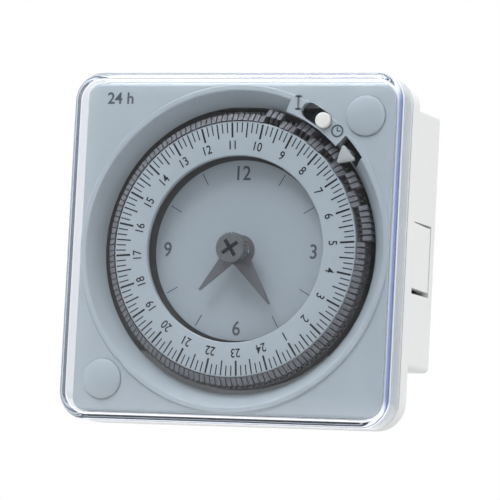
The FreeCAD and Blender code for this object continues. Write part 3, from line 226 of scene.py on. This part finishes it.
# %% [markdown]
# Moulded plastic is never one flat colour. The die leaves a very fine texture, the pigment
# drifts a little over several millimetres, and handling leaves faint dull marks. One node group
# makes all three from the piece's own coordinates, and every plastic uses it with its own values.

# %% Shader groups
def node_group(name, inputs, outputs):
    """An empty shader group with float inputs {name: default} and float outputs."""
    group = bpy.data.node_groups.new(name, "ShaderNodeTree")
    for label, value in inputs.items():
        group.interface.new_socket(label, in_out="INPUT", socket_type="NodeSocketFloat").default_value = value
    for label in outputs:
        group.interface.new_socket(label, in_out="OUTPUT", socket_type="NodeSocketFloat")
    return group, group.nodes.new("NodeGroupInput"), group.nodes.new("NodeGroupOutput")


def moulding_group():
    """Grain: fine noise. Drift: slow noise. Wear: stretched noise cut off high, which leaves a few streaks."""
    values = {"Grain Scale": 5000.0, "Drift Scale": 90.0, "Marks": 0.3}
    group, given, result = node_group("moulding marks", values, ["Grain", "Drift", "Wear"])
    link, new = group.links.new, group.nodes.new
    where = new("ShaderNodeTexCoord").outputs["Object"]
    grain, drift, streak = (new("ShaderNodeTexNoise") for _ in range(3))
    stretch, cut, share = new("ShaderNodeMapping"), new("ShaderNodeMapRange"), new("ShaderNodeMath")
    grain.inputs["Detail"].default_value, drift.inputs["Detail"].default_value = 2.0, 3.0
    stretch.inputs["Rotation"].default_value = (0.3, 0.5, 0.9)
    stretch.inputs["Scale"].default_value = (900.0, 900.0, 120.0)
    streak.inputs["Scale"].default_value, streak.inputs["Detail"].default_value = 1.0, 4.0
    cut.inputs["From Min"].default_value, cut.inputs["From Max"].default_value = 0.62, 0.78
    share.operation = "MULTIPLY"
    link(where, grain.inputs["Vector"])
    link(where, drift.inputs["Vector"])
    link(where, stretch.inputs["Vector"])
    link(stretch.outputs["Vector"], streak.inputs["Vector"])
    link(given.outputs["Grain Scale"], grain.inputs["Scale"])
    link(given.outputs["Drift Scale"], drift.inputs["Scale"])
    link(streak.outputs["Fac"], cut.inputs["Value"])
    link(cut.outputs["Result"], share.inputs[0])
    link(given.outputs["Marks"], share.inputs[1])
    link(grain.outputs["Fac"], result.inputs["Grain"])
    link(drift.outputs["Fac"], result.inputs["Drift"])
    link(share.outputs["Value"], result.inputs["Wear"])
    return group


MOULDING = moulding_group()
ROUGHNESS_SPREAD, WORN_PALER = 0.08, 1.25


def scaled(colour, factor):
    """A colour made lighter or darker, with full alpha."""
    return (*(min(1.0, c * factor) for c in colour[:3]), 1.0)


def plastic(name, colour, roughness=0.5, grain_scale=5000.0, grain_depth=0.02, drift=0.05, marks=0.3,
            drift_scale=90.0):
    """Moulded plastic: the colour drifts by +-drift and is paler where worn, roughness follows the grain
    by +-ROUGHNESS_SPREAD, and the grain stands grain_depth mm high."""
    material = bpy.data.materials.new(name)
    material.use_nodes = True
    tree = material.node_tree
    link, new = tree.links.new, tree.nodes.new
    shader = tree.nodes["Principled BSDF"]
    marking = new("ShaderNodeGroup")
    marking.node_tree = MOULDING
    marking.inputs["Grain Scale"].default_value = grain_scale
    marking.inputs["Drift Scale"].default_value = drift_scale
    marking.inputs["Marks"].default_value = marks
    tone, dulled = new("ShaderNodeMix"), new("ShaderNodeMix")
    tone.data_type = dulled.data_type = "RGBA"
    tone.inputs["A"].default_value = scaled(colour, 1 - drift)
    tone.inputs["B"].default_value = scaled(colour, 1 + drift)
    dulled.inputs["B"].default_value = scaled(colour, WORN_PALER)
    rough, bump = new("ShaderNodeMapRange"), new("ShaderNodeBump")
    rough.inputs["To Min"].default_value = roughness - ROUGHNESS_SPREAD
    rough.inputs["To Max"].default_value = roughness + ROUGHNESS_SPREAD
    rough.inputs["From Min"].default_value, rough.inputs["From Max"].default_value = 0.3, 0.7
    bump.inputs["Distance"].default_value = grain_depth * MM
    bump.inputs["Strength"].default_value = 0.6
    link(marking.outputs["Drift"], tone.inputs["Factor"])
    link(tone.outputs["Result"], dulled.inputs["A"])
    link(marking.outputs["Wear"], dulled.inputs["Factor"])
    link(dulled.outputs["Result"], shader.inputs["Base Color"])
    link(marking.outputs["Grain"], rough.inputs["Value"])
    link(rough.outputs["Result"], shader.inputs["Roughness"])
    link(marking.outputs["Grain"], bump.inputs["Height"])
    link(bump.outputs["Normal"], shader.inputs["Normal"])
    return material


def metal(name, colour, roughness=0.3, marks=0.3):
    """Bare metal: the same marks on a metallic surface, with a stronger drift of roughness."""
    material = plastic(name, colour, roughness, grain_scale=2500.0, grain_depth=0.006, drift=0.08, marks=marks,
                       drift_scale=400.0)
    material.node_tree.nodes["Principled BSDF"].inputs["Metallic"].default_value = 1.0
    return material


# %% [markdown]
# The cover is clear polystyrene or acrylic, polished, with a cool tint that only shows where
# light runs along the walls. It is real refracting glass with a weak blue absorption; lamps pass
# straight through it, because a renderer would otherwise lose most of the light inside. Its
# right-hand edge has a deep blue line, where the eye looks along the wall; that line is a painted
# reflection: a mask on place paints it into the base colour.

# %% The clear plastic
# The second colour is a painted reflection: the deep blue line seen along the right-hand wall, painted into
# the base colour by a mask on place.
PANE_TINT, PAINTED_EDGE_REFLECTION = (0.985, 0.99, 1.0, 1.0), (0.05, 0.1, 0.38, 1.0)


def clear_plastic(name):
    """Refracting plastic with an empty shadow: a shadow ray goes straight through, any other ray is bent.
    The colour is a painted reflection, a deep blue, where x and y are both past their ramps, and PANE_TINT
    elsewhere."""
    material = bpy.data.materials.new(name)
    material.use_nodes = True
    tree = material.node_tree
    link, new = tree.links.new, tree.nodes.new
    shader, result = tree.nodes["Principled BSDF"], tree.nodes["Material Output"]
    shader.inputs["Roughness"].default_value = 0.0
    shader.inputs["IOR"].default_value = 1.49
    shader.inputs["Transmission Weight"].default_value = 1.0
    where, axes, edge = new("ShaderNodeTexCoord"), new("ShaderNodeSeparateXYZ"), new("ShaderNodeMix")
    across, forward, both = new("ShaderNodeMapRange"), new("ShaderNodeMapRange"), new("ShaderNodeMath")
    both.operation, edge.data_type = "MULTIPLY", "RGBA"
    # These ramps mask the right-hand wall, where the deep blue line is painted reflection.
    for ramp, start, full in ((across, 34.85, 35.45), (forward, -10.2, -10.6)):
        ramp.inputs["From Min"].default_value, ramp.inputs["From Max"].default_value = start * MM, full * MM
    edge.inputs["A"].default_value, edge.inputs["B"].default_value = PANE_TINT, PAINTED_EDGE_REFLECTION
    link(where.outputs["Object"], axes.inputs["Vector"])
    link(axes.outputs["X"], across.inputs["Value"])
    link(axes.outputs["Y"], forward.inputs["Value"])
    link(across.outputs["Result"], both.inputs[0])
    link(forward.outputs["Result"], both.inputs[1])
    link(both.outputs["Value"], edge.inputs["Factor"])
    link(edge.outputs["Result"], shader.inputs["Base Color"])
    path, clear, either, tint = (new("ShaderNode" + kind) for kind in
                                 ("LightPath", "BsdfTransparent", "MixShader", "VolumeAbsorption"))
    tint.inputs["Color"].default_value = (0.5, 0.66, 1.0, 1.0)
    tint.inputs["Density"].default_value = 40.0
    clear.inputs["Color"].default_value = (0.95, 0.965, 0.98, 1.0)
    link(path.outputs["Is Shadow Ray"], either.inputs["Fac"])
    link(shader.outputs["BSDF"], either.inputs[1])
    link(clear.outputs["BSDF"], either.inputs[2])
    link(either.outputs["Shader"], result.inputs["Surface"])
    link(tint.outputs["Volume"], result.inputs["Volume"])
    return material


# %% [markdown]
# The finishes of the real timer: white case, blue-grey front plate, a paler dial ring, mauve-grey
# tappets on a darker carrier, a slightly darker clock face, dark painted hands, cream pointer and
# button. Inside are natural acetal wheels, brass and steel.

# %% The finishes
FINISHES = {
    "case_white": plastic("case_white", (0.80, 0.815, 0.815), 0.42, 3500.0, 0.015, 0.02, 0.2),
    "plate_grey": plastic("plate_grey", (0.35, 0.397, 0.418), 0.50, 4500.0, 0.012, 0.03, 0.15),
    "clear_cover": clear_plastic("clear_cover"),
    "ring_grey": plastic("ring_grey", (0.345, 0.395, 0.415), 0.45, 5000.0, 0.008, 0.03, 0.1),
    "tappet_grey": plastic("tappet_grey", (0.15, 0.152, 0.163), 0.45, 5000.0, 0.01, 0.12, 0.35, 900.0),
    "carrier_grey": plastic("carrier_grey", (0.075, 0.076, 0.082), 0.5, 5000.0, 0.01, 0.1, 0.2),
    "face_grey": plastic("face_grey", (0.305, 0.352, 0.375), 0.5, 4500.0, 0.01, 0.04, 0.15),
    "hand_grey": plastic("hand_grey", (0.095, 0.10, 0.107), 0.4, 6000.0, 0.006, 0.1, 0.3),
    "knob_grey": plastic("knob_grey", (0.10, 0.108, 0.112), 0.38, 5000.0, 0.01, 0.25, 0.6, 900.0),
    "cream": plastic("cream", (0.72, 0.71, 0.64), 0.4, 5000.0, 0.008, 0.03, 0.15),
    "brass": metal("brass", (0.78, 0.57, 0.27), 0.3),
    "steel": metal("steel", (0.62, 0.63, 0.65), 0.28),
    "movement_plate": plastic("movement_plate", (0.09, 0.095, 0.1), 0.5),
    "acetal": plastic("acetal", (0.78, 0.77, 0.72), 0.35, 5000.0, 0.008, 0.04, 0.15),
    "terminal_grey": plastic("terminal_grey", (0.33, 0.34, 0.35), 0.5),
    "switch_black": plastic("switch_black", (0.015, 0.015, 0.017), 0.4),
}
slot_of = {row["node"]: row["material_slot"] for row in frame["record"]["subparts"]}
for name, node in nodes.items():
    for place_in_list in range(max(1, len(node.data.materials))):
        if node.data.materials:
            node.data.materials[place_in_list] = FINISHES[slot_of[name]]
        else:
            node.data.materials.append(FINISHES[slot_of[name]])
floor_finish = plastic("floor_paper", (0.86, 0.865, 0.87), 0.7, 900.0, 0.05, 0.01, 0.0, 8.0)
ink = plastic("dial_ink", (0.006, 0.007, 0.009), 0.6, 6000.0, 0.004, 0.1, 0.1)
faint_ink = plastic("face_ink", (0.075, 0.09, 0.1), 0.6, 6000.0, 0.004, 0.1, 0.1)
pale_ink = plastic("mark_ink", (0.14, 0.16, 0.17), 0.6, 6000.0, 0.004, 0.1, 0.1)
pointer_grey = plastic("pointer_grey", (0.36, 0.385, 0.37), 0.42, 5000.0, 0.008, 0.05, 0.2)
# A nearly black finish for painted shade: the pieces that stand for the shade in deep recesses use it.
shade = plastic("recess_shade", (0.012, 0.012, 0.014), 0.7, 5000.0, 0.01, 0.2, 0.1)
for dull in (ink, faint_ink, pale_ink, shade):
    dull.node_tree.nodes["Principled BSDF"].inputs["Specular IOR Level"].default_value = 0.15
print("finishes", len(FINISHES))

# %% [markdown]
# The sheet below is white to the eye but throws only some of its light back up, as a floor
# further away would; otherwise the undersides of the raised shapes would have no shade.

# %% The floor
FLOOR_BOUNCE = (0.4, 0.4, 0.4)
floor_points = np.array([(x, y, FLOOR_LEVEL / MM) for x, y in
                         ((-1, -1), (1, -1), (1, 1), (-1, 1))]) * (FLOOR_HALF / MM, FLOOR_HALF / MM, 1)
floor_mesh = bpy.data.meshes.new("floor")
floor_mesh.from_pydata((floor_points * MM).tolist(), [], [(0, 1, 2, 3)])
floor = bpy.data.objects.new("floor", floor_mesh)
bpy.context.scene.collection.objects.link(floor)
floor_tree = floor_finish.node_tree
by_ray, sheet = floor_tree.nodes.new("ShaderNodeLightPath"), floor_tree.nodes.new("ShaderNodeMix")
sheet.data_type = "RGBA"
sheet.inputs["B"].default_value = scaled(FLOOR_BOUNCE, 1.0)
floor_colour = floor_tree.nodes["Principled BSDF"].inputs["Base Color"]
floor_tree.links.new(floor_colour.links[0].from_socket, sheet.inputs["A"])
floor_tree.links.new(by_ray.outputs["Is Diffuse Ray"], sheet.inputs["Factor"])
floor_tree.links.new(sheet.outputs["Result"], floor_colour)
floor.data.materials.append(floor_finish)

# %% [markdown]
# The cover is one moulded dish: a flat pane, four walls, every outer edge rounded. Its section is
# a closed line (pane, outer round, wall, rim, inner wall, inner round, pane again) that is carried
# round a square with round corners. Each point of the section says how far in from the outer
# square it lies, so the corner radius shrinks by the same amount; near the middle the square
# shrinks to a point instead, which closes both skins.

# %% The clear cover
COVER_HALF, COVER_CORNER, COVER_EDGE = 36.0, 6.0, 1.5
COVER_FRONT, COVER_RIM, PANE, WALL, INNER_EDGE = -11.2, -4.0, 1.1, 1.3, 0.5


def round_square(half, corner, per_corner=14, per_side=10):
    """Points of a square with round corners, anticlockwise seen from the front, as (n x 2): each corner is a
    quarter circle about (half - corner, half - corner), and each side is straight between two quarters."""
    quarter = np.radians(np.linspace(0, 90, per_corner))
    arc = np.stack([np.cos(quarter), np.sin(quarter)], -1) * corner + (half - corner)
    end, start = arc[-1], np.array([-arc[-1][0], arc[-1][1]])
    side = end + (start - end) * np.linspace(0, 1, per_side + 2)[1:-1, None]
    part = np.concatenate([arc, side])
    turns = [np.array([[c, s], [-s, c]]) for c, s in ((1, 0), (0, 1), (-1, 0), (0, -1))]
    return np.concatenate([part @ turn for turn in turns])


cover_section = np.concatenate([
    quarter_round((COVER_EDGE, COVER_FRONT + COVER_EDGE), COVER_EDGE, 270, 180),
    [(0.0, COVER_RIM - 0.25), (0.1, COVER_RIM - 0.07), (0.28, COVER_RIM), (WALL - 0.2, COVER_RIM),
     (WALL, COVER_RIM - 0.15)],
    quarter_round((WALL + INNER_EDGE, COVER_FRONT + PANE + INNER_EDGE), INNER_EDGE, 180, 270, 6),
])
outline_rings = [np.insert(round_square(COVER_HALF - inward, COVER_CORNER - inward), 1, y, axis=1)
                 for inward, y in cover_section]
shrinks = np.array([0.85, 0.6, 0.35, 0.12])
front_pane = [outline_rings[0] * (s, 1, s) for s in shrinks[::-1]]
back_pane = [outline_rings[-1] * (s, 1, s) for s in shrinks]
cover_rings = np.stack(front_pane + outline_rings + back_pane)
around = cover_rings.shape[1]
cover_points = np.concatenate([cover_rings.reshape(-1, 3), [(0, COVER_FRONT, 0), (0, COVER_FRONT + PANE, 0)]])
step_round = np.arange(around)
last_ring = (len(cover_rings) - 1) * around
front_fan = np.stack([np.full(around, len(cover_points) - 2), step_round, np.roll(step_round, -1)], -1)
back_fan = np.stack([np.full(around, len(cover_points) - 1), last_ring + np.roll(step_round, -1),
                     last_ring + step_round], -1)
cover = put_in_scene("clear_cover_dish", cover_points,
                     [skin_faces(len(cover_rings), around, wrap_columns=True), front_fan, back_fan],
                     FINISHES["clear_cover"], "cover", "clear_cover")
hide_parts("cover")

# %% [markdown]
# The program ring is a flat annulus on a short skirt. Its edges are rounded as a mould leaves
# them, which draws the thin light line round it.

# %% The program ring
RING_FRONT, RING_INNER, RING_OUTER, RING_THICK = -7.3, 19.2, 26.35, 1.0
SKIRT_WALL, SKIRT_END, RING_ROUND = 1.05, -2.7, 0.28
ring_section = np.concatenate([
    quarter_round((RING_INNER + RING_ROUND, RING_FRONT + RING_ROUND), RING_ROUND, 180, 270),
    quarter_round((RING_OUTER - RING_ROUND, RING_FRONT + RING_ROUND), RING_ROUND, 270, 360),
    [(RING_OUTER, SKIRT_END), (RING_OUTER - SKIRT_WALL, SKIRT_END),
     (RING_OUTER - SKIRT_WALL, RING_FRONT + RING_THICK), (RING_INNER, RING_FRONT + RING_THICK)],
])
ring = put_in_scene("program_ring_turned", *lathe(ring_section, 192), FINISHES["ring_grey"], "dial",
                    "ring_grey")
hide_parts("program_ring")

# %% [markdown]
# The setting knob has small ridges for the fingers, and a cross moulded in its end. The ridges are
# a sleeve round the knob. The cross's recess lies in shade, and that shade is painted: two thin
# nearly black bars lie in it. They come after the helper that makes the bars of ink.

# %% The knob's grip and cross
KNOB_RADIUS, KNOB_FRONT, KNOB_BACK, KNOB_RIDGES, RIDGE = 3.0, -9.7, -7.15, 26, 0.26
SETTING_FRONT, CROSS_TURN, CROSS_LONG, CROSS_WIDE = -9.8, 35.0, 4.0, 0.78
grip_section = [(KNOB_RADIUS - 0.08, KNOB_FRONT), (KNOB_RADIUS, KNOB_FRONT), (KNOB_RADIUS, KNOB_FRONT + 0.15),
                (KNOB_RADIUS, KNOB_BACK - 0.2), (KNOB_RADIUS, KNOB_BACK), (KNOB_RADIUS - 0.08, KNOB_BACK)]
grip = lathe(grip_section, 8 * KNOB_RIDGES, ridges=KNOB_RIDGES, ridge_height=RIDGE,
             ridged=[0, 0.4, 1, 1, 0.4, 0])
put_in_scene("knob_grip", *grip, FINISHES["knob_grey"], "minute_work", "knob_grey")

# %% [markdown]
# The override slide shows a round cream button on a slide that closes the slot behind it; the slide's nearly
# black colour is painted shade, for the shade in the slot.

# %% The override button
SLOT_ANGLE, SLOT_RADIUS, BUTTON_OFF = math.radians(58.2), 32.1, 1.85
BUTTON_RADIUS, BUTTON_FRONT, BUTTON_ROUND, SLIDE_FRONT = 1.65, -9.3, 0.4, -6.85
PEG_RADIUS, PEG_END = 0.8, -4.1
button_x = SLOT_RADIUS * math.cos(SLOT_ANGLE) + BUTTON_OFF * math.sin(SLOT_ANGLE)
button_z = SLOT_RADIUS * math.sin(SLOT_ANGLE) - BUTTON_OFF * math.cos(SLOT_ANGLE)
button_section = np.concatenate([
    [(0.2, BUTTON_FRONT)],
    quarter_round((BUTTON_RADIUS - BUTTON_ROUND, BUTTON_FRONT + BUTTON_ROUND), BUTTON_ROUND, 270, 360),
    [(BUTTON_RADIUS, SLIDE_FRONT + 0.1), (PEG_RADIUS, SLIDE_FRONT + 0.1), (PEG_RADIUS, PEG_END)],
])
button = put_in_scene("override_button", *lathe(button_section, 48, button_x, button_z, solid=True),
                      FINISHES["cream"], "override", "cream")
# The slide is painted shade: nearly black in the shade finish, for the shade in the slot.
SLIDE_INNER, SLIDE_OUTER, SLIDE_FROM, SLIDE_TO, SLIDE_BACK = 30.6, 33.6, 49.6, 60.25, -5.9
slide_plate = sector_block(SLIDE_INNER, SLIDE_OUTER, SLIDE_FROM, SLIDE_TO, SLIDE_FRONT, SLIDE_BACK)
slide = put_in_scene("override_slide_painted_shade", *slide_plate, shade, "override", "switch_black")
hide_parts("override_slide")

# %% [markdown]
# The time pointer is a small flat triangle with rounded corners on a peg. Its outline is worked out
# from three corners: each is replaced by an arc that touches both sides.

# %% The time pointer
POINTER_ANGLE = 40.0


def rounded_outline(corners, radius, steps=7):
    """Each corner becomes an arc between its two tangent points: the arc's centre lies on the bisector, at
    radius / sin(half angle)."""
    corners = np.asarray(corners, float)
    before, after = np.roll(corners, 1, 0) - corners, np.roll(corners, -1, 0) - corners
    before, after = (v / np.linalg.norm(v, axis=1)[:, None] for v in (before, after))
    half = np.arccos((before * after).sum(1)) / 2
    bisector = (before + after) / np.linalg.norm(before + after, axis=1)[:, None]
    centre = corners + bisector * (radius / np.sin(half))[:, None]
    middle = np.arctan2(-bisector[:, 1], -bisector[:, 0])
    a = middle[:, None] + (np.pi / 2 - half)[:, None] * np.linspace(-1, 1, steps)
    return (centre[:, None, :] + radius * np.stack([np.cos(a), np.sin(a)], -1)).reshape(-1, 2)


def slab(outline, front, back, inset, turn):
    """A plate with a softened front edge: the outline is drawn in by inset at the front and whole from a
    little behind it to the back. Fans at its middle close it, and it is turned by an angle in degrees."""
    outline = np.asarray(outline, float)
    middle, count = outline.mean(0), len(outline)
    shrink = 1 - inset / np.linalg.norm(outline - middle, axis=1).mean() * np.array([1.0, 0.3, 0.0, 0.0])
    y = np.array([front, front + 0.3 * inset, front + inset, back])
    flat = middle + (outline - middle) * shrink[:, None, None]
    c, sn = math.cos(math.radians(turn)), math.sin(math.radians(turn))
    flat = np.concatenate([flat.reshape(-1, 2), [middle, middle]])
    depth = np.concatenate([np.repeat(y, count), [front, back]])
    points = np.stack([flat[:, 0] * c - flat[:, 1] * sn, depth, flat[:, 0] * sn + flat[:, 1] * c], -1)
    j, last = np.arange(count), 3 * count
    fans = [np.stack([np.full(count, 4 * count), j, np.roll(j, -1)], -1),
            np.stack([np.full(count, 4 * count + 1), last + np.roll(j, -1), last + j], -1)]
    return points, [skin_faces(4, count, wrap_columns=True), *fans]


arrow = rounded_outline([(27.75, -0.35), (31.45, -2.65), (31.45, 1.95)], 0.42)
peg_at = math.radians(POINTER_ANGLE)
POINTER_FRONT, POINTER_BACK, POINTER_SOFT, PEG_AT = -8.45, -7.7, 0.22, 30.9
peg_section = [(0.2, -7.8), (0.7, -7.8), (0.7, -4.2), (0.2, -4.2)]
peg = lathe(peg_section, 24, PEG_AT * math.cos(peg_at), PEG_AT * math.sin(peg_at), solid=True)
arrow_plate = slab(arrow, POINTER_FRONT, POINTER_BACK, POINTER_SOFT, POINTER_ANGLE)
pointer = put_in_scene("pointer_arrow", *joined(arrow_plate, peg), pointer_grey, "case", "cream")
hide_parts("time_pointer")

# %% [markdown]
# The pointer's notch is deep and narrow, so it lies in shade. That shade is painted: a thin nearly
# black sheet lies on its floor and against its outer wall.

# %% The notch's painted shade
NOTCH_FROM, NOTCH_TO, NOTCH_OUTER, NOTCH_FLOOR = 34.75, 44.85, 32.95, -5.0
# Painted shade: a nearly black sheet on the notch's floor and outer wall, in the shade finish.
notch_floor = sector_block(30.05, NOTCH_OUTER, NOTCH_FROM, NOTCH_TO, NOTCH_FLOOR - 0.06, NOTCH_FLOOR + 0.03)
notch_wall = sector_block(NOTCH_OUTER - 0.05, NOTCH_OUTER + 0.05, NOTCH_FROM, NOTCH_TO, -7.95, NOTCH_FLOOR)
put_in_scene("notch_painted_shade", *joined(notch_floor, notch_wall), shade, "case", "carrier_grey")

# %% [markdown]
# Two domed plugs close the holes of the fixing screws in opposite corners.

# %% The screw plugs
PLUG_PLACE, PLUG_RADIUS, PLUG_RIM, PLUG_CROWN, PLUG_SEAT = 27.4, 4.18, -8.25, -8.85, -6.9
out = np.linspace(0.08, 0.94, 8)
dome = np.stack([PLUG_RADIUS * out, PLUG_CROWN + (PLUG_RIM - PLUG_CROWN - 0.12) * out ** 2.4], -1)
plug_section = np.concatenate([dome, [(PLUG_RADIUS * 0.985, PLUG_RIM - 0.08), (PLUG_RADIUS, PLUG_RIM + 0.12),
                                      (PLUG_RADIUS, PLUG_SEAT), (0.3, PLUG_SEAT)]])
both_plugs = joined(*(lathe(plug_section, 64, at, at, solid=True) for at in (PLUG_PLACE, -PLUG_PLACE)))
plugs = put_in_scene("screw_plug_caps", *both_plugs, FINISHES["plate_grey"], "case", "plate_grey")
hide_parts("screw_plugs")

# %% [markdown]
# The scale on the dial ring is printed. Real ink has a thickness that can just be felt, so each
# mark is a very thin block standing on the ring: 144 marks, one for every ten minutes, longer at
# each half hour and bolder at each hour.

# %% Printed scale of the ring
INK = 0.03
HOUR_SHOWN, HOUR_STEP = 7.4, 15.0


def ring_angle(hour):
    """Where an hour of the dial stands: HOUR_STEP degrees per hour, anticlockwise, and HOUR_SHOWN at the
    pointer."""
    return np.radians(POINTER_ANGLE + HOUR_STEP * (hour - HOUR_SHOWN))


def ink_bars(angles, inner, outer, widths, front):
    """Thin blocks along radii: corners at (radius, +-width / 2) turned by the angle, from the surface to
    INK above it."""
    angles, inner, outer, widths = np.broadcast_arrays(angles, inner, outer, widths)
    radius = np.stack([inner, outer, outer, inner] * 2, -1)
    side = np.stack([-widths, -widths, widths, widths] * 2, -1) / 2
    depth = np.broadcast_to(np.repeat([front - INK, front + INK / 2], 4), radius.shape)
    c, s = np.cos(angles)[:, None], np.sin(angles)[:, None]
    points = np.stack([radius * c - side * s, depth, radius * s + side * c], -1)
    block = np.array([(0, 1, 2, 3), (7, 6, 5, 4), (0, 4, 5, 1), (1, 5, 6, 2), (2, 6, 7, 3), (3, 7, 4, 0)])
    faces = (np.arange(len(angles))[:, None, None] * 8 + block).reshape(-1, 4)
    return points.reshape(-1, 3), faces


# The knob's cross gets painted shade: two nearly black bars in its recess, in the shade finish.
cross_turns = np.radians([CROSS_TURN, CROSS_TURN + 90])
cross = ink_bars(cross_turns, -CROSS_LONG / 2, CROSS_LONG / 2, CROSS_WIDE, SETTING_FRONT)
put_in_scene("knob_cross_painted_shade", *cross, shade, "minute_work", "knob_grey", smooth=False)
steps = np.arange(144)
whole, half_hour = steps % 6 == 0, steps % 3 == 0
marks = ink_bars(ring_angle(steps / 6), np.where(half_hour, 22.95, 23.95), 26.05,
                 np.where(whole, 0.4, np.where(half_hour, 0.28, 0.23)), RING_FRONT)
put_in_scene("ring_scale", *marks, ink, "dial", "switch_black", smooth=False)

# %% [markdown]
# Numbers are set in a plain typeface, turned into meshes, and then laid on the part. A number
# on the ring stands with its head outwards, so it is turned by its own angle less a right angle.

# %% Lettering
def lettering(items, height, front, narrow=0.9, weight=0.0):
    """All texts as one set of points and faces. Each item is (text, x, z, turn): its middle in mm and its
    turn in radians. A letter's own x runs right and its own y runs up, and it stands INK above the surface
    at front."""
    points, faces, count = [], [], 0
    for text, x, z, turn in items:
        curve = bpy.data.curves.new("text", "FONT")
        curve.body, curve.size, curve.extrude, curve.offset = text, height / 0.73, INK * 0.75, weight
        curve.align_x, curve.align_y, curve.resolution_u = "CENTER", "CENTER", 4
        carrier = bpy.data.objects.new("text", curve)
        mesh = bpy.data.meshes.new_from_object(carrier)
        flat = np.zeros(len(mesh.vertices) * 3, np.float32)
        mesh.vertices.foreach_get("co", flat)
        flat = flat.reshape(-1, 3).astype(np.float64)
        flat[:, :2] -= (flat[:, :2].max(0) + flat[:, :2].min(0)) / 2
        flat[:, 0] *= narrow
        c, s = math.cos(turn), math.sin(turn)
        points.append(np.stack([x + flat[:, 0] * c - flat[:, 1] * s, front - INK / 4 - flat[:, 2],
                                z + flat[:, 0] * s + flat[:, 1] * c], -1))
        mesh.calc_loop_triangles()
        corners = np.zeros(len(mesh.loop_triangles) * 3, np.int32)
        mesh.loop_triangles.foreach_get("vertices", corners)
        faces.append(corners.reshape(-1, 3) + count)
        count += len(flat)
        bpy.data.meshes.remove(mesh)
        bpy.data.objects.remove(carrier)
        bpy.data.curves.remove(curve)
    return np.concatenate(points), np.concatenate(faces)


NUMBER_RADIUS = 21.4
hours = [(str(h), NUMBER_RADIUS * math.cos(ring_angle(h)), NUMBER_RADIUS * math.sin(ring_angle(h)),
          ring_angle(h) - math.pi / 2) for h in range(1, 25)]
put_in_scene("ring_numbers", *lettering(hours, 1.9, RING_FRONT, 0.85, 0.025), ink, "dial", "switch_black",
             smooth=False)

# %% [markdown]
# The clock face carries four numbers and eight thin strokes in a paler ink.

# %% Printed clock face
FACE_FRONT = -3.8
quarters = [(text, 16.0 * math.cos(a), 16.0 * math.sin(a), 0.0) for text, a in
            (("12", math.pi / 2), ("3", 0.0), ("6", -math.pi / 2), ("9", math.pi))]
put_in_scene("face_numbers", *lettering(quarters, 3.05, FACE_FRONT, 0.9, 0.05), faint_ink, "case", "hand_grey",
             smooth=False)
strokes = np.radians(30.0 * np.array([1, 2, 4, 5, 7, 8, 10, 11]))
put_in_scene("face_strokes", *ink_bars(strokes, 15.5, 18.1, 0.17, FACE_FRONT), faint_ink, "case", "hand_grey",
             smooth=False)

# %% [markdown]
# Beside the override slide are its two marks, a one for always on and a small clock for the
# automatic position. The plate's upper corner has a plain note of the dial's span.

# %% Marks on the front plate
SHELF_FRONT, PLATE_FRONT = -8.35, -8.0


def hoop(x, z, radius, width, front, steps=40):
    """A flat ring of ink: four corners of its section carried round a circle."""
    a = np.linspace(0, 2 * np.pi, steps, endpoint=False)[:, None]
    r = radius + np.array([width, -width, -width, width]) / 2
    y = front + np.array([-INK, -INK, INK / 2, INK / 2])
    points = np.stack([x + r * np.cos(a), np.broadcast_to(y, (steps, 4)), z + r * np.sin(a)], -1)
    return points.reshape(-1, 3), skin_faces(steps, 4, True, True)


def ink_rectangle(x0, x1, z0, z1, front):
    """One upright block of ink."""
    p, f = ink_bars(np.zeros(1), x0, x1, z1 - z0, front)
    return p + (0, 0, (z0 + z1) / 2), f


one_mark = joined(ink_rectangle(12.55, 13.05, 28.5, 31.5, SHELF_FRONT),
                  ink_rectangle(12.1, 13.5, 31.1, 31.5, SHELF_FRONT),
                  ink_rectangle(12.1, 13.5, 28.5, 28.9, SHELF_FRONT))
clock_mark = joined(hoop(21.5, 24.2, 1.15, 0.36, SHELF_FRONT),
                    ink_rectangle(21.36, 21.64, 24.2, 25.0, SHELF_FRONT),
                    ink_rectangle(21.4, 22.2, 24.06, 24.34, SHELF_FRONT))
put_in_scene("mark_always_on", *one_mark, pale_ink, "case", "hand_grey", smooth=False)
put_in_scene("mark_automatic", *clock_mark, faint_ink, "case", "hand_grey", smooth=False)
span_text = lettering([("24 h", -26.6, 30.9, 0.0)], 2.45, PLATE_FRONT, 1.0, 0.06)
put_in_scene("mark_span", *span_text, faint_ink, "case", "hand_grey", smooth=False)
